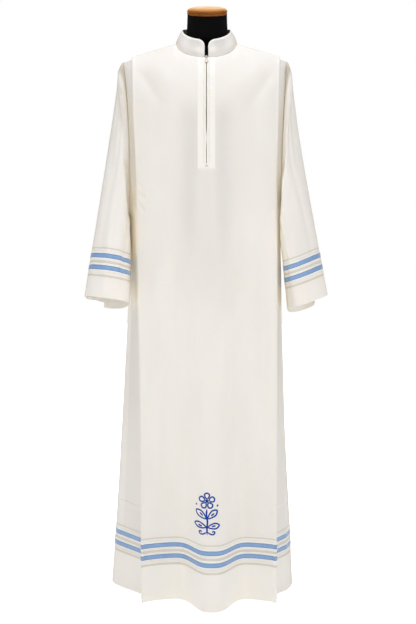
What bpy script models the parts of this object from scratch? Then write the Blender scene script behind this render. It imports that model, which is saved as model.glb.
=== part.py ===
"""Alb robe on a limbless dress form. Metres, +Z up, origin on the floor under the form's base plate.

The cloth pieces are thin walls through sections worked out from the sizes below. Seen from the front, the
robe's left is at -X. Depths are measured from the plane of the shoulder seams, forwards or backwards.
"""

import math
from collections import namedtuple

import bmesh
import bpy
from mathutils import Matrix, Vector

# Cloth
WALL = 0.0012
SEAM_GAP = 0.0003
RIBBON_THICK = 0.0006
RIBBON_WIDTH = 0.012

# Heights of the robe
HEM_Z = 0.014
UNDERARM_Z = 1.050
CHEST_Z = 1.330
NECK_SIDE_Z = 1.506
SHOULDER_FALL = 0.295  # drop of the shoulder seam for each metre outwards
HANG = CHEST_Z - HEM_Z
BEND = 0.5523  # handle length of a quarter bend
SIDE_SLOPE = math.radians(8.0)  # how steeply the cloth leaves the shoulder seam
FRONT_SLOPE = math.radians(45.0)  # and the neckline at the centre front
BACK_SLOPE = math.radians(30.0)

# Neckline, one ellipse that dips to the front and rises a little to the back
NECK_HALF = 0.081
NECK_FRONT = 0.085
NECK_BACK = 0.074
NECK_FRONT_DROP = 0.0413
NECK_BACK_RISE = 0.022

# Armhole depth forwards and backwards
ARMHOLE_FRONT = 0.046
ARMHOLE_BACK = 0.050

# Zip
SLIT = 0.004
ZIP_END_Z = 1.193
FACING_END_Z = 1.178
FACING_HALF = 0.0235
TAPE_HALF = 0.013
TAPE_THICK = 0.0005
FACING_THICK = 0.0006
CHAIN_HALF = 0.0014
CHAIN_THICK = 0.0010
CHAIN_OUT = 0.0001
CHAIN_END = 0.10  # share of its last row that the chain leaves free above the slit's end

# Ribbon rows: lower edges above the hem, and above the cuff's edge along the sleeve
HEM_RIBBONS = (0.1156, 0.1470)
CUFF_RIBBONS = (0.0726, 0.1040)

# The pleat: fold radius and how far the layers lie apart, pressed at the shoulder and open at the hem
PLEAT_DEEP = 0.034
LAYER = 0.0038
FOLD_R_TOP, FOLD_R_HEM = LAYER / 2, 0.003
INNER_R_TOP, INNER_R_HEM = LAYER / 2, 0.005
INNER_GAP_TOP, INNER_GAP_HEM = LAYER * 1.5, 0.016
UNDER_GAP_TOP, UNDER_GAP_HEM = LAYER * 2, 0.0628

# How far the pleat's fold, the side seam and the widest point lie from the centre at each height
Side = namedtuple("Side", "z fold seam widest")
LEFT = (
    Side(0.014, 0.1758, 0.2370, 0.2690),
    Side(0.200, 0.1763, 0.2285, 0.2540),
    Side(0.430, 0.1769, 0.2190, 0.2380),
    Side(0.620, 0.1784, 0.2110, 0.2262),
    Side(0.800, 0.1813, 0.2055, 0.2150),
    Side(0.950, 0.1840, 0.2065, 0.2090),
    Side(1.050, 0.1852, 0.2110, 0.2110),
    Side(1.166, 0.1862, 0.2135, 0.2135),
    Side(1.330, 0.1930, 0.2171, 0.2171),
    Side(1.460, 0.1985, 0.2200, 0.2200),
)
RIGHT = (
    Side(0.014, 0.1893, 0.2235, 0.2425),
    Side(0.200, 0.1893, 0.2175, 0.2325),
    Side(0.430, 0.1893, 0.2095, 0.2190),
    Side(0.620, 0.1885, 0.2050, 0.2120),
    Side(0.800, 0.1879, 0.2015, 0.2055),
    Side(0.950, 0.1865, 0.2010, 0.2030),
    Side(1.050, 0.1860, 0.2045, 0.2045),
    Side(1.166, 0.1863, 0.2069, 0.2069),
    Side(1.330, 0.1898, 0.2103, 0.2103),
    Side(1.460, 0.1950, 0.2130, 0.2130),
)
SEAM_FORWARD = {-1: 0.045, 1: 0.068}  # how far the side seams swing forward at the hem

# Under the arm the back's side layer bows out to the widest point
BOW_AT = 0.6
BOW_DEPTH = 0.3
BOW_HEIGHT = 0.15
FRONT_SIDE_STEPS = (0.5, 1.0)
BACK_SIDE_STEPS = (0.3, 0.55, 0.8, 1.0)

# The body panels: depth at the chest and hem, at the centre and the pleat's fold, and their standing waves
CHEST_CURVE = 2.2
HEM_CURVE = 3.0
WAVE_GROWTH = 2.15
WAVE_SHAPE = 3.0
Panel = namedtuple("Panel", "facing chest_centre chest_fold hem_centre hem_fold armhole waves")
Wave = namedtuple("Wave", "x deep half_width")
FRONT = Panel(-1, 0.122, 0.062, 0.128, 0.166, ARMHOLE_FRONT, (Wave(0.0140, 0.1045, 0.0585),))
BACK = Panel(
    1, 0.116, 0.060, 0.142, 0.168, ARMHOLE_BACK, (Wave(-0.078, 0.050, 0.042), Wave(0.062, 0.064, 0.046))
)

# Upright lines of a panel from its centre out to the pleat: distance from the centre above and below the chest
Line = namedtuple("Line", "top low")
FRONT_LINES = (
    Line(SLIT / 2, SLIT / 2),
    Line(FACING_HALF, FACING_HALF),
    Line(0.0430, 0.0430),
    Line(0.0600, 0.0590),
    Line(0.0710, 0.0740),
    Line(0.0785, 0.0890),
    Line(NECK_HALF, 0.1030),
    Line(0.1060, 0.1220),
    Line(0.1340, 0.1400),
    Line(0.1570, 0.1600),
    Line(0.1770, 0.1770),
)
BACK_LINES = (Line(0.0, 0.0),) + FRONT_LINES[1:]
FOLD_REST = 0.190  # the fold's usual distance, which the outer lines follow

# Rows of a panel: steps over the shoulder, then heights down to the hem
SHOULDER_STEPS = tuple(i / 7 for i in range(8))
ROW_Z = (1.262, ZIP_END_Z, FACING_END_Z, 1.110, UNDERARM_Z, 0.950, 0.800, 0.620, 0.430, 0.270) + (
    HEM_Z + HEM_RIBBONS[1] + RIBBON_WIDTH,
    HEM_Z + HEM_RIBBONS[1],
    HEM_Z + HEM_RIBBONS[0] + RIBBON_WIDTH,
    HEM_Z + HEM_RIBBONS[0],
    0.075,
    HEM_Z,
)

# Sleeves: four lines from the armhole to the cuff. Along is the share of the way down.
Sleeve = namedtuple(
    "Sleeve",
    "along top_x top_y top_z under_x under_y under_z front_x front_y front_z back_x back_y back_z",
)
LEFT_SLEEVE = (
    Sleeve(0.05, 0.2320, -0.001, 1.4360, 0.2150, -0.001, 1.0430, 0.2165, -0.064, 1.2500, 0.2240, 0.064, 1.2500),
    Sleeve(0.30, 0.2570, -0.010, 1.2750, 0.2050, -0.044, 0.9830, 0.2230, -0.095, 1.1330, 0.2330, 0.056, 1.1200),
    Sleeve(0.60, 0.2860, -0.038, 1.0850, 0.2035, -0.062, 0.9150, 0.2430, -0.125, 1.0100, 0.2490, 0.022, 0.9850),
    Sleeve(1.00, 0.3266, -0.080, 0.8380, 0.2040, -0.10, 0.8240, 0.2620, -0.165, 0.8450, 0.2680, -0.028, 0.7990),
)
RIGHT_SLEEVE = (
    Sleeve(0.05, 0.2260, 0.000, 1.4250, 0.2090, 0.000, 1.0430, 0.2120, -0.062, 1.2450, 0.2180, 0.066, 1.2450),
    Sleeve(0.30, 0.2475, 0.000, 1.2720, 0.2035, -0.038, 0.9800, 0.2060, -0.088, 1.1300, 0.2280, 0.066, 1.1200),
    Sleeve(0.60, 0.2810, -0.006, 1.0860, 0.2085, -0.045, 0.9050, 0.2380, -0.098, 1.0000, 0.2500, 0.058, 0.9800),
    Sleeve(1.00, 0.3285, -0.025, 0.8365, 0.2195, -0.045, 0.8010, 0.2740, -0.090, 0.8230, 0.2720, 0.045, 0.7850),
)
SLEEVE_ROWS_ABOVE = 8
ROW_BUNCHING = 1.3
CUFF_ROWS = (0.030, 0.0)
ARMHOLE_EASE = 0.0010
LINE_STEPS = 60

# Stand collar
COLLAR_HALF = 0.0635
COLLAR_FRONT = 0.068
COLLAR_BACK = 0.060
COLLAR_SIDE_Z = 1.542
COLLAR_FRONT_DROP = 0.0302
COLLAR_BACK_RISE = 0.008
COLLAR_OPEN = 0.0048
COLLAR_CORNER_R = 0.017
COLLAR_SEAM = 0.0010
COLLAR_STEPS = (0.0, 0.3, 0.6, 0.85, 1.0)
COLLAR_BOW = 0.002

# Dress form
FORM_X = 0.002
NECK_TILT = math.radians(12.0)
Ring = namedtuple("Ring", "z centre_x half_width half_depth power tilt")
FORM_RINGS = (
    Ring(0.7400, 0.0, 0.1600, 0.0980, 2.0, 0.0),
    Ring(0.7480, 0.0, 0.1660, 0.1030, 2.0, 0.0),
    Ring(0.8200, 0.0, 0.1680, 0.1050, 2.0, 0.0),
    Ring(0.9000, 0.0, 0.1560, 0.0970, 2.0, 0.0),
    Ring(1.0000, 0.0, 0.1420, 0.0860, 2.0, 0.0),
    Ring(1.1000, 0.0, 0.1520, 0.0930, 2.0, 0.0),
    Ring(1.2000, 0.0, 0.1680, 0.1040, 2.0, 0.0),
    Ring(1.2900, 0.0, 0.1760, 0.1060, 2.0, 0.0),
    Ring(1.3500, 0.0, 0.1820, 0.1000, 2.0, 0.0),
    Ring(1.4000, 0.0, 0.1850, 0.0880, 2.0, 0.0),
    Ring(1.4350, 0.0, 0.1840, 0.0760, 2.0, 0.0),
    Ring(1.4500, 0.0, 0.1810, 0.0720, 2.0, 0.0),
    Ring(1.4640, 0.0, 0.1730, 0.0650, 1.8, 0.0),
    Ring(1.4720, 0.0, 0.1590, 0.0600, 1.6, 0.0),
    Ring(1.4790, 0.0, 0.1570, 0.0560, 1.4, 0.0),
    Ring(1.4850, 0.0, 0.1450, 0.0540, 1.3, 0.0),
    Ring(1.4960, FORM_X / 2, 0.1080, 0.0430, 1.1, 0.0),
    Ring(1.5030, FORM_X / 2, 0.0765, 0.0460, 1.5, 0.0),
    Ring(1.5060, FORM_X / 2, 0.0715, 0.0510, 1.7, 0.0),
    Ring(1.5130, FORM_X / 2, 0.0650, 0.0545, 1.9, 0.0),
    Ring(1.5300, FORM_X, 0.0560, 0.0545, 2.0, math.radians(4.0)),
    Ring(1.5550, FORM_X, 0.0535, 0.0530, 2.0, math.radians(9.0)),
    Ring(1.5822, FORM_X, 0.0525, 0.0525, 2.0, NECK_TILT),
)
FORM_SIDES = 32
POLE_SIDES = 16
BASE_SIDES = 40
CAP_Z = 1.5825
Turn = namedtuple("Turn", "radius height")
CAP_PROFILE = (
    Turn(0.0515, 0.0),
    Turn(0.0532, 0.0012),
    Turn(0.0532, 0.0040),
    Turn(0.0512, 0.0050),
    Turn(0.0512, 0.0058),
    Turn(0.0535, 0.0072),
    Turn(0.0530, 0.0100),
    Turn(0.0505, 0.0135),
    Turn(0.0460, 0.0160),
    Turn(0.0250, 0.0180),
)
BASE_Y = 0.012
BASE_R = 0.135
BASE_THICK = 0.016
BOSS_R = 0.022
BOSS_TOP = 0.034
BASE_RIM = 0.004
BASE_RISE = 0.002
EDGE = 0.001
POLE_R = 0.0125
FORM_BOTTOM = FORM_RINGS[0].z

# Zip slider and pull tab, sizes across, along the zip and outwards
SLIDER_HALF = 0.00325
SLIDER_WAIST = 0.85
SLIDER_TAIL = 0.75
SLIDER_SHOULDER = 0.70
SLIDER_LONG = 0.010
PLATE_THICK = 0.0014
BRIDGE_HALF = 0.0008
BRIDGE_POST = 0.0009
BRIDGE_REACH = 0.0036
BRIDGE_ROOM = 0.0020
BRIDGE_THICK = 0.0008
PULL_BAR = 0.0006
PULL_THICK = 0.0010
PULL_LONG = 0.0200
PULL_TOP_HALF = 0.0028
PULL_LOW_HALF = 0.0040
WINDOW_HALF = 0.0016
WINDOW_END = 0.0047


def clear_scene():
    for thing in list(bpy.data.objects):
        bpy.data.objects.remove(thing, do_unlink=True)


def finish(name, color, roughness, metallic=0.0):
    material = bpy.data.materials.new(name)
    material.use_nodes = True
    shader = material.node_tree.nodes["Principled BSDF"]
    shader.inputs["Base Color"].default_value = (*color, 1.0)
    shader.inputs["Roughness"].default_value = roughness
    shader.inputs["Metallic"].default_value = metallic
    material.diffuse_color = (*color, 1.0)
    return material


def blend(a, b, share):
    return a + (b - a) * share


def read(rows, name, at, key="z"):
    """One column of a table at a place between its rows, along a smooth curve."""
    rows = sorted(rows, key=lambda row: getattr(row, key))
    places = [getattr(row, key) for row in rows]
    values = [getattr(row, name) for row in rows]
    at = min(max(at, places[0]), places[-1])
    i = max(k for k in range(len(rows) - 1) if places[k] <= at)
    span = places[i + 1] - places[i]
    slopes = [
        (values[min(k + 1, len(rows) - 1)] - values[max(k - 1, 0)])
        / (places[min(k + 1, len(rows) - 1)] - places[max(k - 1, 0)])
        for k in (i, i + 1)
    ]
    t = (at - places[i]) / span
    return (
        (2 * t**3 - 3 * t**2 + 1) * values[i]
        + (t**3 - 2 * t**2 + t) * span * slopes[0]
        + (3 * t**2 - 2 * t**3) * values[i + 1]
        + (t**3 - t**2) * span * slopes[1]
    )


def bezier(a, b, c, d, t):
    s = 1 - t
    return a * s**3 + b * 3 * s * s * t + c * 3 * s * t * t + d * t**3


def add_object(name, mesh, material):
    mesh.materials.append(material)
    thing = bpy.data.objects.new(name, mesh)
    bpy.context.scene.collection.objects.link(thing)
    return thing


def smooth(mesh, angle=40.0):
    mesh.shade_smooth()
    mesh.set_sharp_from_angle(angle=math.radians(angle))


def grid_normals(grid, wrap=False):
    """Normals that face out, when rows of points run down and columns run to +X as seen from outside."""
    last_row, last_col = len(grid) - 1, len(grid[0]) - 1
    normals = []
    for r, row in enumerate(grid):
        line = []
        for c in range(len(row)):
            before = row[c - 1] if wrap else row[max(c - 1, 0)]
            after = row[(c + 1) % len(row)] if wrap else row[min(c + 1, last_col)]
            down = grid[min(r + 1, last_row)][c] - grid[max(r - 1, 0)][c]
            line.append(down.cross(after - before).normalized())
        normals.append(line)
    return normals


def wall(name, grid, normals, material, thick=WALL, out=0.0, wrap=False, skip=()):
    """A closed wall through a grid of points. Out moves it along the normals, skip leaves cells open."""
    mesh = bpy.data.meshes.new(name)
    build = bmesh.new()
    outer, inner = [
        [
            [build.verts.new(p + n * (out + side * thick / 2)) for p, n in zip(row, line)]
            for row, line in zip(grid, normals)
        ]
        for side in (1, -1)
    ]
    cols = len(grid[0])
    for r in range(len(grid) - 1):
        for c in range(cols if wrap else cols - 1):
            if (r, c) in skip:
                continue
            d = (c + 1) % cols
            build.faces.new((outer[r][c], outer[r + 1][c], outer[r + 1][d], outer[r][d]))
            build.faces.new((inner[r][c], inner[r][d], inner[r + 1][d], inner[r + 1][c]))
    partner = {a: b for front, back in zip(outer, inner) for a, b in zip(front, back)}
    for edge in [e for e in build.edges if len(e.link_faces) == 1 and e.verts[0] in partner]:
        loop = edge.link_faces[0].loops
        start = next(corner for corner in loop if corner.edge == edge)
        a, b = start.vert, start.link_loop_next.vert
        build.faces.new((b, a, partner[a], partner[b]))
    loose = [v for v in build.verts if not v.link_faces]
    bmesh.ops.delete(build, geom=loose, context="VERTS")
    bmesh.ops.recalc_face_normals(build, faces=build.faces)
    build.to_mesh(mesh)
    build.free()
    smooth(mesh)
    return add_object(name, mesh, material)


# ---- Body panels ----


def shoulder_z(x):
    return NECK_SIDE_Z - SHOULDER_FALL * (abs(x) - NECK_HALF)


def neckline(turn):
    """A point of the neckline. Turn is 0 at the centre front, 90 degrees at the side, 180 at the back."""
    forward = math.cos(turn)
    reach, rise = (NECK_FRONT, -NECK_FRONT_DROP) if forward > 0 else (NECK_BACK, -NECK_BACK_RISE)
    return Vector((NECK_HALF * math.sin(turn), -reach * forward, NECK_SIDE_Z + rise * forward))


def fall(z):
    """How far down a height is between the chest and the hem, 0 to 1."""
    return max(0.0, (CHEST_Z - z) / HANG)


def sheet_depth(panel, x, z, fold):
    """Depth of a panel's outer layer."""
    t = fall(z)
    q = min(abs(x) / fold, 1.0)
    chest = blend(panel.chest_centre, panel.chest_fold, q**CHEST_CURVE)
    hem = blend(panel.hem_centre, panel.hem_fold, q**HEM_CURVE)
    waves = sum(w.deep * math.exp(-(abs((x - w.x) / w.half_width) ** WAVE_SHAPE)) for w in panel.waves)
    return blend(chest, hem, t) + waves * t**WAVE_GROWTH


def armhole(side, panel, z):
    """A point of the armhole's edge at a height."""
    table = LEFT if side < 0 else RIGHT
    tip_z = shoulder_z(table[-1].seam) - 2 * LAYER
    middle = (tip_z + UNDERARM_Z) / 2
    up = min(max((z - middle) / (tip_z - middle), -1.0), 1.0)
    deep = panel.armhole * math.sqrt(1 - up * up)
    share = (z - UNDERARM_Z) / (tip_z - UNDERARM_Z)
    x = blend(read(table, "seam", UNDERARM_Z), table[-1].seam, share)
    return Vector((side * x, panel.facing * deep, z))


def hanging_points(side, panel, z):
    """One half of a section between chest and hem: sheet, outer fold, inner fold, side."""
    table = LEFT if side < 0 else RIGHT
    t = fall(z)
    fold = read(table, "fold", z)
    lines = FRONT_LINES if panel is FRONT else BACK_LINES
    points = []

    def put(x, deep):
        points.append(Vector((side * x, panel.facing * deep, z)))

    for line in lines:
        x = line.low + (fold - FOLD_REST) * (line.low / FOLD_REST) ** 3
        put(x, sheet_depth(panel, side * x, z, fold))
    at_fold = sheet_depth(panel, side * fold, z, fold)
    r = blend(FOLD_R_TOP, FOLD_R_HEM, t)
    put(fold - r, at_fold)
    put(fold, at_fold - r)
    put(fold - r, at_fold - 2 * r)
    inner = fold - PLEAT_DEEP
    r = blend(INNER_R_TOP, INNER_R_HEM, t)
    deep = sheet_depth(panel, side * inner, z, fold) - blend(INNER_GAP_TOP, INNER_GAP_HEM, t)
    put(inner + r, deep + r)
    put(inner, deep)
    put(inner + r, deep - r)
    under = at_fold - blend(UNDER_GAP_TOP, UNDER_GAP_HEM, t)
    put(fold, under)
    points.extend(side_points(side, panel, z, points[-1]))
    return points


def side_points(side, panel, z, start):
    """The under layer from behind the fold to the armhole or the side seam."""
    table = LEFT if side < 0 else RIGHT
    if z > UNDERARM_Z:
        end = armhole(side, panel, z)
    else:
        forward = SEAM_FORWARD[side] * (UNDERARM_Z - z) / (UNDERARM_Z - HEM_Z)
        end = Vector((side * read(table, "seam", z), -forward, z))
    control = (start + end) / 2
    steps = FRONT_SIDE_STEPS
    if panel is BACK:
        wide = side * read(table, "widest", z)
        bow = (wide - start.x * (1 - BOW_AT) ** 2 - end.x * BOW_AT**2) / (2 * BOW_AT * (1 - BOW_AT))
        share = min(1.0, max(0.0, (UNDERARM_Z - z) / BOW_HEIGHT))
        control = control.lerp(Vector((bow, BOW_DEPTH * start.y, z)), share)
        steps = BACK_SIDE_STEPS
    points = [start * (1 - s) ** 2 + control * 2 * s * (1 - s) + end * s * s for s in steps]
    if z <= UNDERARM_Z:
        points[-1] += (points[-2] - points[-1]).normalized() * SEAM_GAP / 2
    return points


def shoulder_points(side, panel, step):
    """One half of a section over the shoulder: each upright line bends from the seam down to the chest."""
    table = LEFT if side < 0 else RIGHT
    low = hanging_points(side, panel, CHEST_Z)
    lines = FRONT_LINES if panel is FRONT else BACK_LINES
    fold, tip = table[-1].fold, table[-1].seam
    r = LAYER / 2
    sheet = [(line.top, 0.0) for line in lines]
    folded = [(fold - r, 0), (fold, r), (fold - r, 2 * r)]
    inner = fold - PLEAT_DEEP
    folded += [(inner + r, LAYER), (inner, LAYER + r), (inner + r, LAYER + 2 * r), (fold, 2 * LAYER)]
    shares = FRONT_SIDE_STEPS if panel is FRONT else BACK_SIDE_STEPS
    folded += [(blend(fold, tip, s), 2 * LAYER) for s in shares]
    points = []
    for (x, below), end in zip(sheet + folded, low):
        slope = SIDE_SLOPE
        if x < NECK_HALF:
            turn = math.asin(x / NECK_HALF)
            start = neckline(turn if panel is FRONT else math.pi - turn)
            slope = blend(SIDE_SLOPE, FRONT_SLOPE if panel is FRONT else BACK_SLOPE, math.cos(turn))
        else:
            start = Vector((x, panel.facing * SEAM_GAP / 2, shoulder_z(x) - below))
        start.x *= side
        reach = BEND * abs(end.y - start.y)
        lean = Vector((0, panel.facing * reach, -reach * math.tan(slope)))
        rise = Vector((0, 0, BEND * (start.z - end.z)))
        points.append(bezier(start, start + lean, end + rise, end, step))
    if step < 1:
        tip_z = shoulder_z(tip) - 2 * LAYER
        middle = (tip_z + UNDERARM_Z) / 2
        turn = step * math.acos((CHEST_Z - middle) / (tip_z - middle))
        points[-1] = armhole(side, panel, middle + (tip_z - middle) * math.cos(turn))
        points[-1].y += panel.facing * SEAM_GAP / 2 * (1 - step)
    return points


def panel_grid(panel):
    """All rows of a panel from the shoulder seam to the hem. Columns run to +X as seen from outside."""
    rows = []
    for step in SHOULDER_STEPS:
        rows.append([shoulder_points(side, panel, step) for side in (-1, 1)])
    for z in ROW_Z:
        rows.append([hanging_points(side, panel, z) for side in (-1, 1)])
    grid = []
    for left, right in rows:
        if panel is FRONT:
            grid.append(left[::-1] + right)
        else:
            grid.append(right[::-1] + left[1:])
    return grid


def meet_at_seams(front, front_normals, back, back_normals):
    """Both panels' edges are cut square to one shared direction along the shoulder and side seams."""
    for grid, normals in ((front, front_normals), (back, back_normals)):
        for point, normal in zip(grid[0], normals[0]):
            if abs(point.x) >= NECK_HALF:
                normal.y = 0.0
                normal.normalize()
    for r in range(row_of(UNDERARM_Z), len(front)):
        for a, b in ((0, -1), (-1, 0)):
            shared = (front_normals[r][a] + back_normals[r][b]).normalized()
            front_normals[r][a] = shared
            back_normals[r][b] = shared.copy()


def row_of(z):
    return len(SHOULDER_STEPS) + ROW_Z.index(z)


# ---- Sleeves ----


def armhole_ring(side):
    """Armhole edge points from the shoulder tip down the front, under the arm and up the back."""
    ring = []
    for panel in (FRONT, BACK):
        half = [shoulder_points(side, panel, step)[-1] for step in SHOULDER_STEPS]
        half += [hanging_points(side, panel, z)[-1] for z in ROW_Z if z >= UNDERARM_Z]
        ring.append(half)
    front, back = ring
    front[0].y = 0.0
    front[-1].y = 0.0
    return front + back[-2:0:-1]


def sleeve_turns(side):
    """The angle of each armhole point about its middle, 0 at the tip and 180 degrees under the arm."""
    ring = armhole_ring(side)
    top, low = ring[0].z, min(p.z for p in ring)
    turns = []
    for point in ring:
        up = min(max((2 * point.z - top - low) / (top - low), -1.0), 1.0)
        turn = math.acos(up)
        turns.append(turn if point.y <= 0 else 2 * math.pi - turn)
    return turns


def sleeve_line(side, edge, turn):
    """One line of the sleeve from the armhole's edge to the cuff, as many small steps."""
    table = LEFT_SLEEVE if side < 0 else RIGHT_SLEEVE
    away = 2 * SEAM_GAP + ARMHOLE_EASE * math.sqrt(abs(math.sin(turn / 2)))
    start = edge + Vector((side * away, 0, 0))
    path = [start]
    for i in range(1, LINE_STEPS + 1):
        along = i / LINE_STEPS
        at = max(along, table[0].along)
        top, under, front, back = (
            Vector([read(table, f"{name}_{axis}", at, "along") for axis in "xyz"])
            for name in ("top", "under", "front", "back")
        )
        centre = (top + under) / 2
        across = front - centre if turn <= math.pi else centre - back
        point = centre + (top - under) / 2 * math.cos(turn) + across * math.sin(turn)
        point.x *= side
        if along < table[0].along:
            point = start.lerp(point, along / table[0].along)
        path.append(point)
    return path


def along_from_end(path, distance):
    """The point of a path at a distance from its far end."""
    left = distance
    for a, b in zip(path[::-1], path[-2::-1]):
        step = (a - b).length
        if left <= step:
            return a.lerp(b, left / step)
        left -= step
    return path[0].copy()


def sleeve_grid(side):
    """Rows of a sleeve from the armhole to the cuff, the last ones level with the ribbons' edges."""
    ring = armhole_ring(side)
    paths = [sleeve_line(side, edge, turn) for edge, turn in zip(ring, sleeve_turns(side))]
    lengths = [sum((b - a).length for a, b in zip(path, path[1:])) for path in paths]
    trims = [d + w for d in CUFF_RIBBONS[::-1] for w in (RIBBON_WIDTH, 0.0)]
    trims += CUFF_ROWS
    rows = []
    for i in range(SLEEVE_ROWS_ABOVE):
        share = (i / SLEEVE_ROWS_ABOVE) ** ROW_BUNCHING
        rows.append(
            [along_from_end(p, length - share * (length - trims[0])) for p, length in zip(paths, lengths)]
        )
    rows += [[along_from_end(path, d) for path in paths] for d in trims]
    if side > 0:
        rows = [row[::-1] for row in rows]
    return rows


# ---- Collar ----


def collar_grid():
    turns = [math.asin(COLLAR_OPEN / NECK_HALF)]
    turns += [math.asin(line.top / NECK_HALF) for line in FRONT_LINES[1:7]]
    turns += [math.pi - turn for turn in turns[-2:0:-1]] + [math.pi]
    turns = [-turn for turn in turns[:-1]] + [turn for turn in turns[::-1]]
    grid = []
    for step in COLLAR_STEPS[::-1]:
        row = []
        for turn in turns:
            forward = math.cos(turn)
            base = neckline(abs(turn))
            base.x = math.copysign(base.x, turn)
            reach = COLLAR_FRONT if forward > 0 else COLLAR_BACK
            rise = -COLLAR_FRONT_DROP if forward > 0 else -COLLAR_BACK_RISE
            top = Vector((COLLAR_HALF * math.sin(turn), -reach * forward, COLLAR_SIDE_Z + rise * forward))
            if abs(turn) == abs(turns[0]):
                top.x = math.copysign(COLLAR_OPEN, turn)
            up = top - base
            corner = COLLAR_CORNER_R - min(abs(top.x) - COLLAR_OPEN, COLLAR_CORNER_R)
            drop = COLLAR_CORNER_R - math.sqrt(COLLAR_CORNER_R**2 - corner**2) if forward > 0 else 0.0
            length = up.length - drop
            out = Vector((math.sin(turn), -forward, 0)) * COLLAR_BOW * 4 * step * (1 - step)
            row.append(base + up.normalized() * blend(COLLAR_SEAM, length, step) + out)
        grid.append(row)
    return grid


# ---- Zip ----


def between_columns(grid, first, last, x, rows):
    """Points of a panel's rows at a distance from the centre, on the flat between two of its columns."""
    points = []
    for row in grid[:rows]:
        a, b = row[first], row[last]
        points.append(a.lerp(b, (x - a.x) / (b.x - a.x)))
    return points


def extruded(build, outline, thick, frame):
    """A flat plate with an outline in the frame's X and Y and its thickness along Z. Later loops are holes."""
    loops = [
        [[build.verts.new(frame @ Vector((x, y, z))) for x, y in loop] for loop in outline]
        for z in (-thick / 2, thick / 2)
    ]
    for level in loops:
        edges = []
        for loop in level:
            edges += [build.edges.new((loop[i], loop[(i + 1) % len(loop)])) for i in range(len(loop))]
        bmesh.ops.triangle_fill(build, edges=edges, use_beauty=True)
    for low, high in zip(*loops):
        for i in range(len(low)):
            j = (i + 1) % len(low)
            build.faces.new((low[i], low[j], high[j], high[i]))
    bmesh.ops.recalc_face_normals(build, faces=build.faces)


def mesh_object(name, build, material, angle=40.0):
    mesh = bpy.data.meshes.new(name)
    bmesh.ops.recalc_face_normals(build, faces=build.faces)
    build.to_mesh(mesh)
    build.free()
    smooth(mesh, angle)
    return add_object(name, mesh, material)


def zip_frame(grid):
    """The slider's place: X across, Y up the zip, Z outwards, on the cloth's outer face at the neckline."""
    centre = len(grid[0]) // 2
    top = (grid[0][centre - 1] + grid[0][centre]) / 2
    below = (grid[1][centre - 1] + grid[1][centre]) / 2
    up = (top - below).normalized()
    across = Vector((1, 0, 0))
    out = across.cross(up)
    place = top + out * (WALL / 2 + SEAM_GAP)
    return Matrix((across, up, out)).transposed().to_4x4(), place


def make_slider(turn, place, metal):
    """Front plate of the slider with a bridge that the pull hangs on."""
    frame = Matrix.Translation(place) @ turn
    half = SLIDER_LONG / 2
    plate = bmesh.new()
    outline = [
        (-SLIDER_HALF * SLIDER_TAIL, -half), (SLIDER_HALF * SLIDER_TAIL, -half),
        (SLIDER_HALF * SLIDER_WAIST, 0.0), (SLIDER_HALF, half * SLIDER_SHOULDER),
        (SLIDER_HALF * SLIDER_SHOULDER, half), (-SLIDER_HALF * SLIDER_SHOULDER, half),
        (-SLIDER_HALF, half * SLIDER_SHOULDER), (-SLIDER_HALF * SLIDER_WAIST, 0.0),
    ]  # fmt: skip
    extruded(plate, [outline], PLATE_THICK, frame @ Matrix.Translation((0, 0, PLATE_THICK / 2)))
    slider = mesh_object("zip_slider", plate, metal, 30.0)
    sunk = PLATE_THICK / 2
    top = PLATE_THICK + BRIDGE_ROOM
    arch = bmesh.new()
    outline = [
        (-BRIDGE_REACH, sunk), (-BRIDGE_REACH + BRIDGE_POST, sunk), (-BRIDGE_REACH + BRIDGE_POST, top),
        (BRIDGE_REACH - BRIDGE_POST, top), (BRIDGE_REACH - BRIDGE_POST, sunk), (BRIDGE_REACH, sunk),
        (BRIDGE_REACH, top), (BRIDGE_REACH - BRIDGE_THICK, top + BRIDGE_THICK),
        (-BRIDGE_REACH + BRIDGE_THICK, top + BRIDGE_THICK), (-BRIDGE_REACH, top),
    ]  # fmt: skip
    side_on = Matrix(((0, 0, 1, 0), (1, 0, 0, 0), (0, 1, 0, 0), (0, 0, 0, 1)))
    extruded(arch, [outline], 2 * BRIDGE_HALF, frame @ side_on)
    bridge = mesh_object("bridge_cutter", arch, metal, 30.0)
    bridge.hide_render = True
    bridge.display_type = "WIRE"
    join = slider.modifiers.new("bridge", "BOOLEAN")
    join.operation = "UNION"
    join.object = bridge
    return slider


def make_pull(turn, place, metal):
    """Pull tab: a bar under the bridge, a window round it and a rounded grip. Its origin is on the hinge."""
    plate = bmesh.new()
    low = PULL_LONG - PULL_LOW_HALF
    grip = [
        (PULL_LOW_HALF * math.cos(a), -low - PULL_LOW_HALF * math.sin(a))
        for a in [math.pi * i / 8 for i in range(9)]
    ]
    outline = [(PULL_TOP_HALF, PULL_BAR)] + grip + [(-PULL_TOP_HALF, PULL_BAR)]
    window = [
        (-WINDOW_HALF, -PULL_BAR), (WINDOW_HALF, -PULL_BAR),
        (WINDOW_HALF, -WINDOW_END), (-WINDOW_HALF, -WINDOW_END),
    ]
    extruded(plate, [outline, window], PULL_THICK, Matrix())
    pull = mesh_object("zip_pull", plate, metal, 30.0)
    hinge = turn @ Vector((0, 0, PLATE_THICK + BRIDGE_ROOM / 2)) + place
    pull.matrix_world = Matrix.Translation(hinge) @ turn
    return pull


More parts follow.
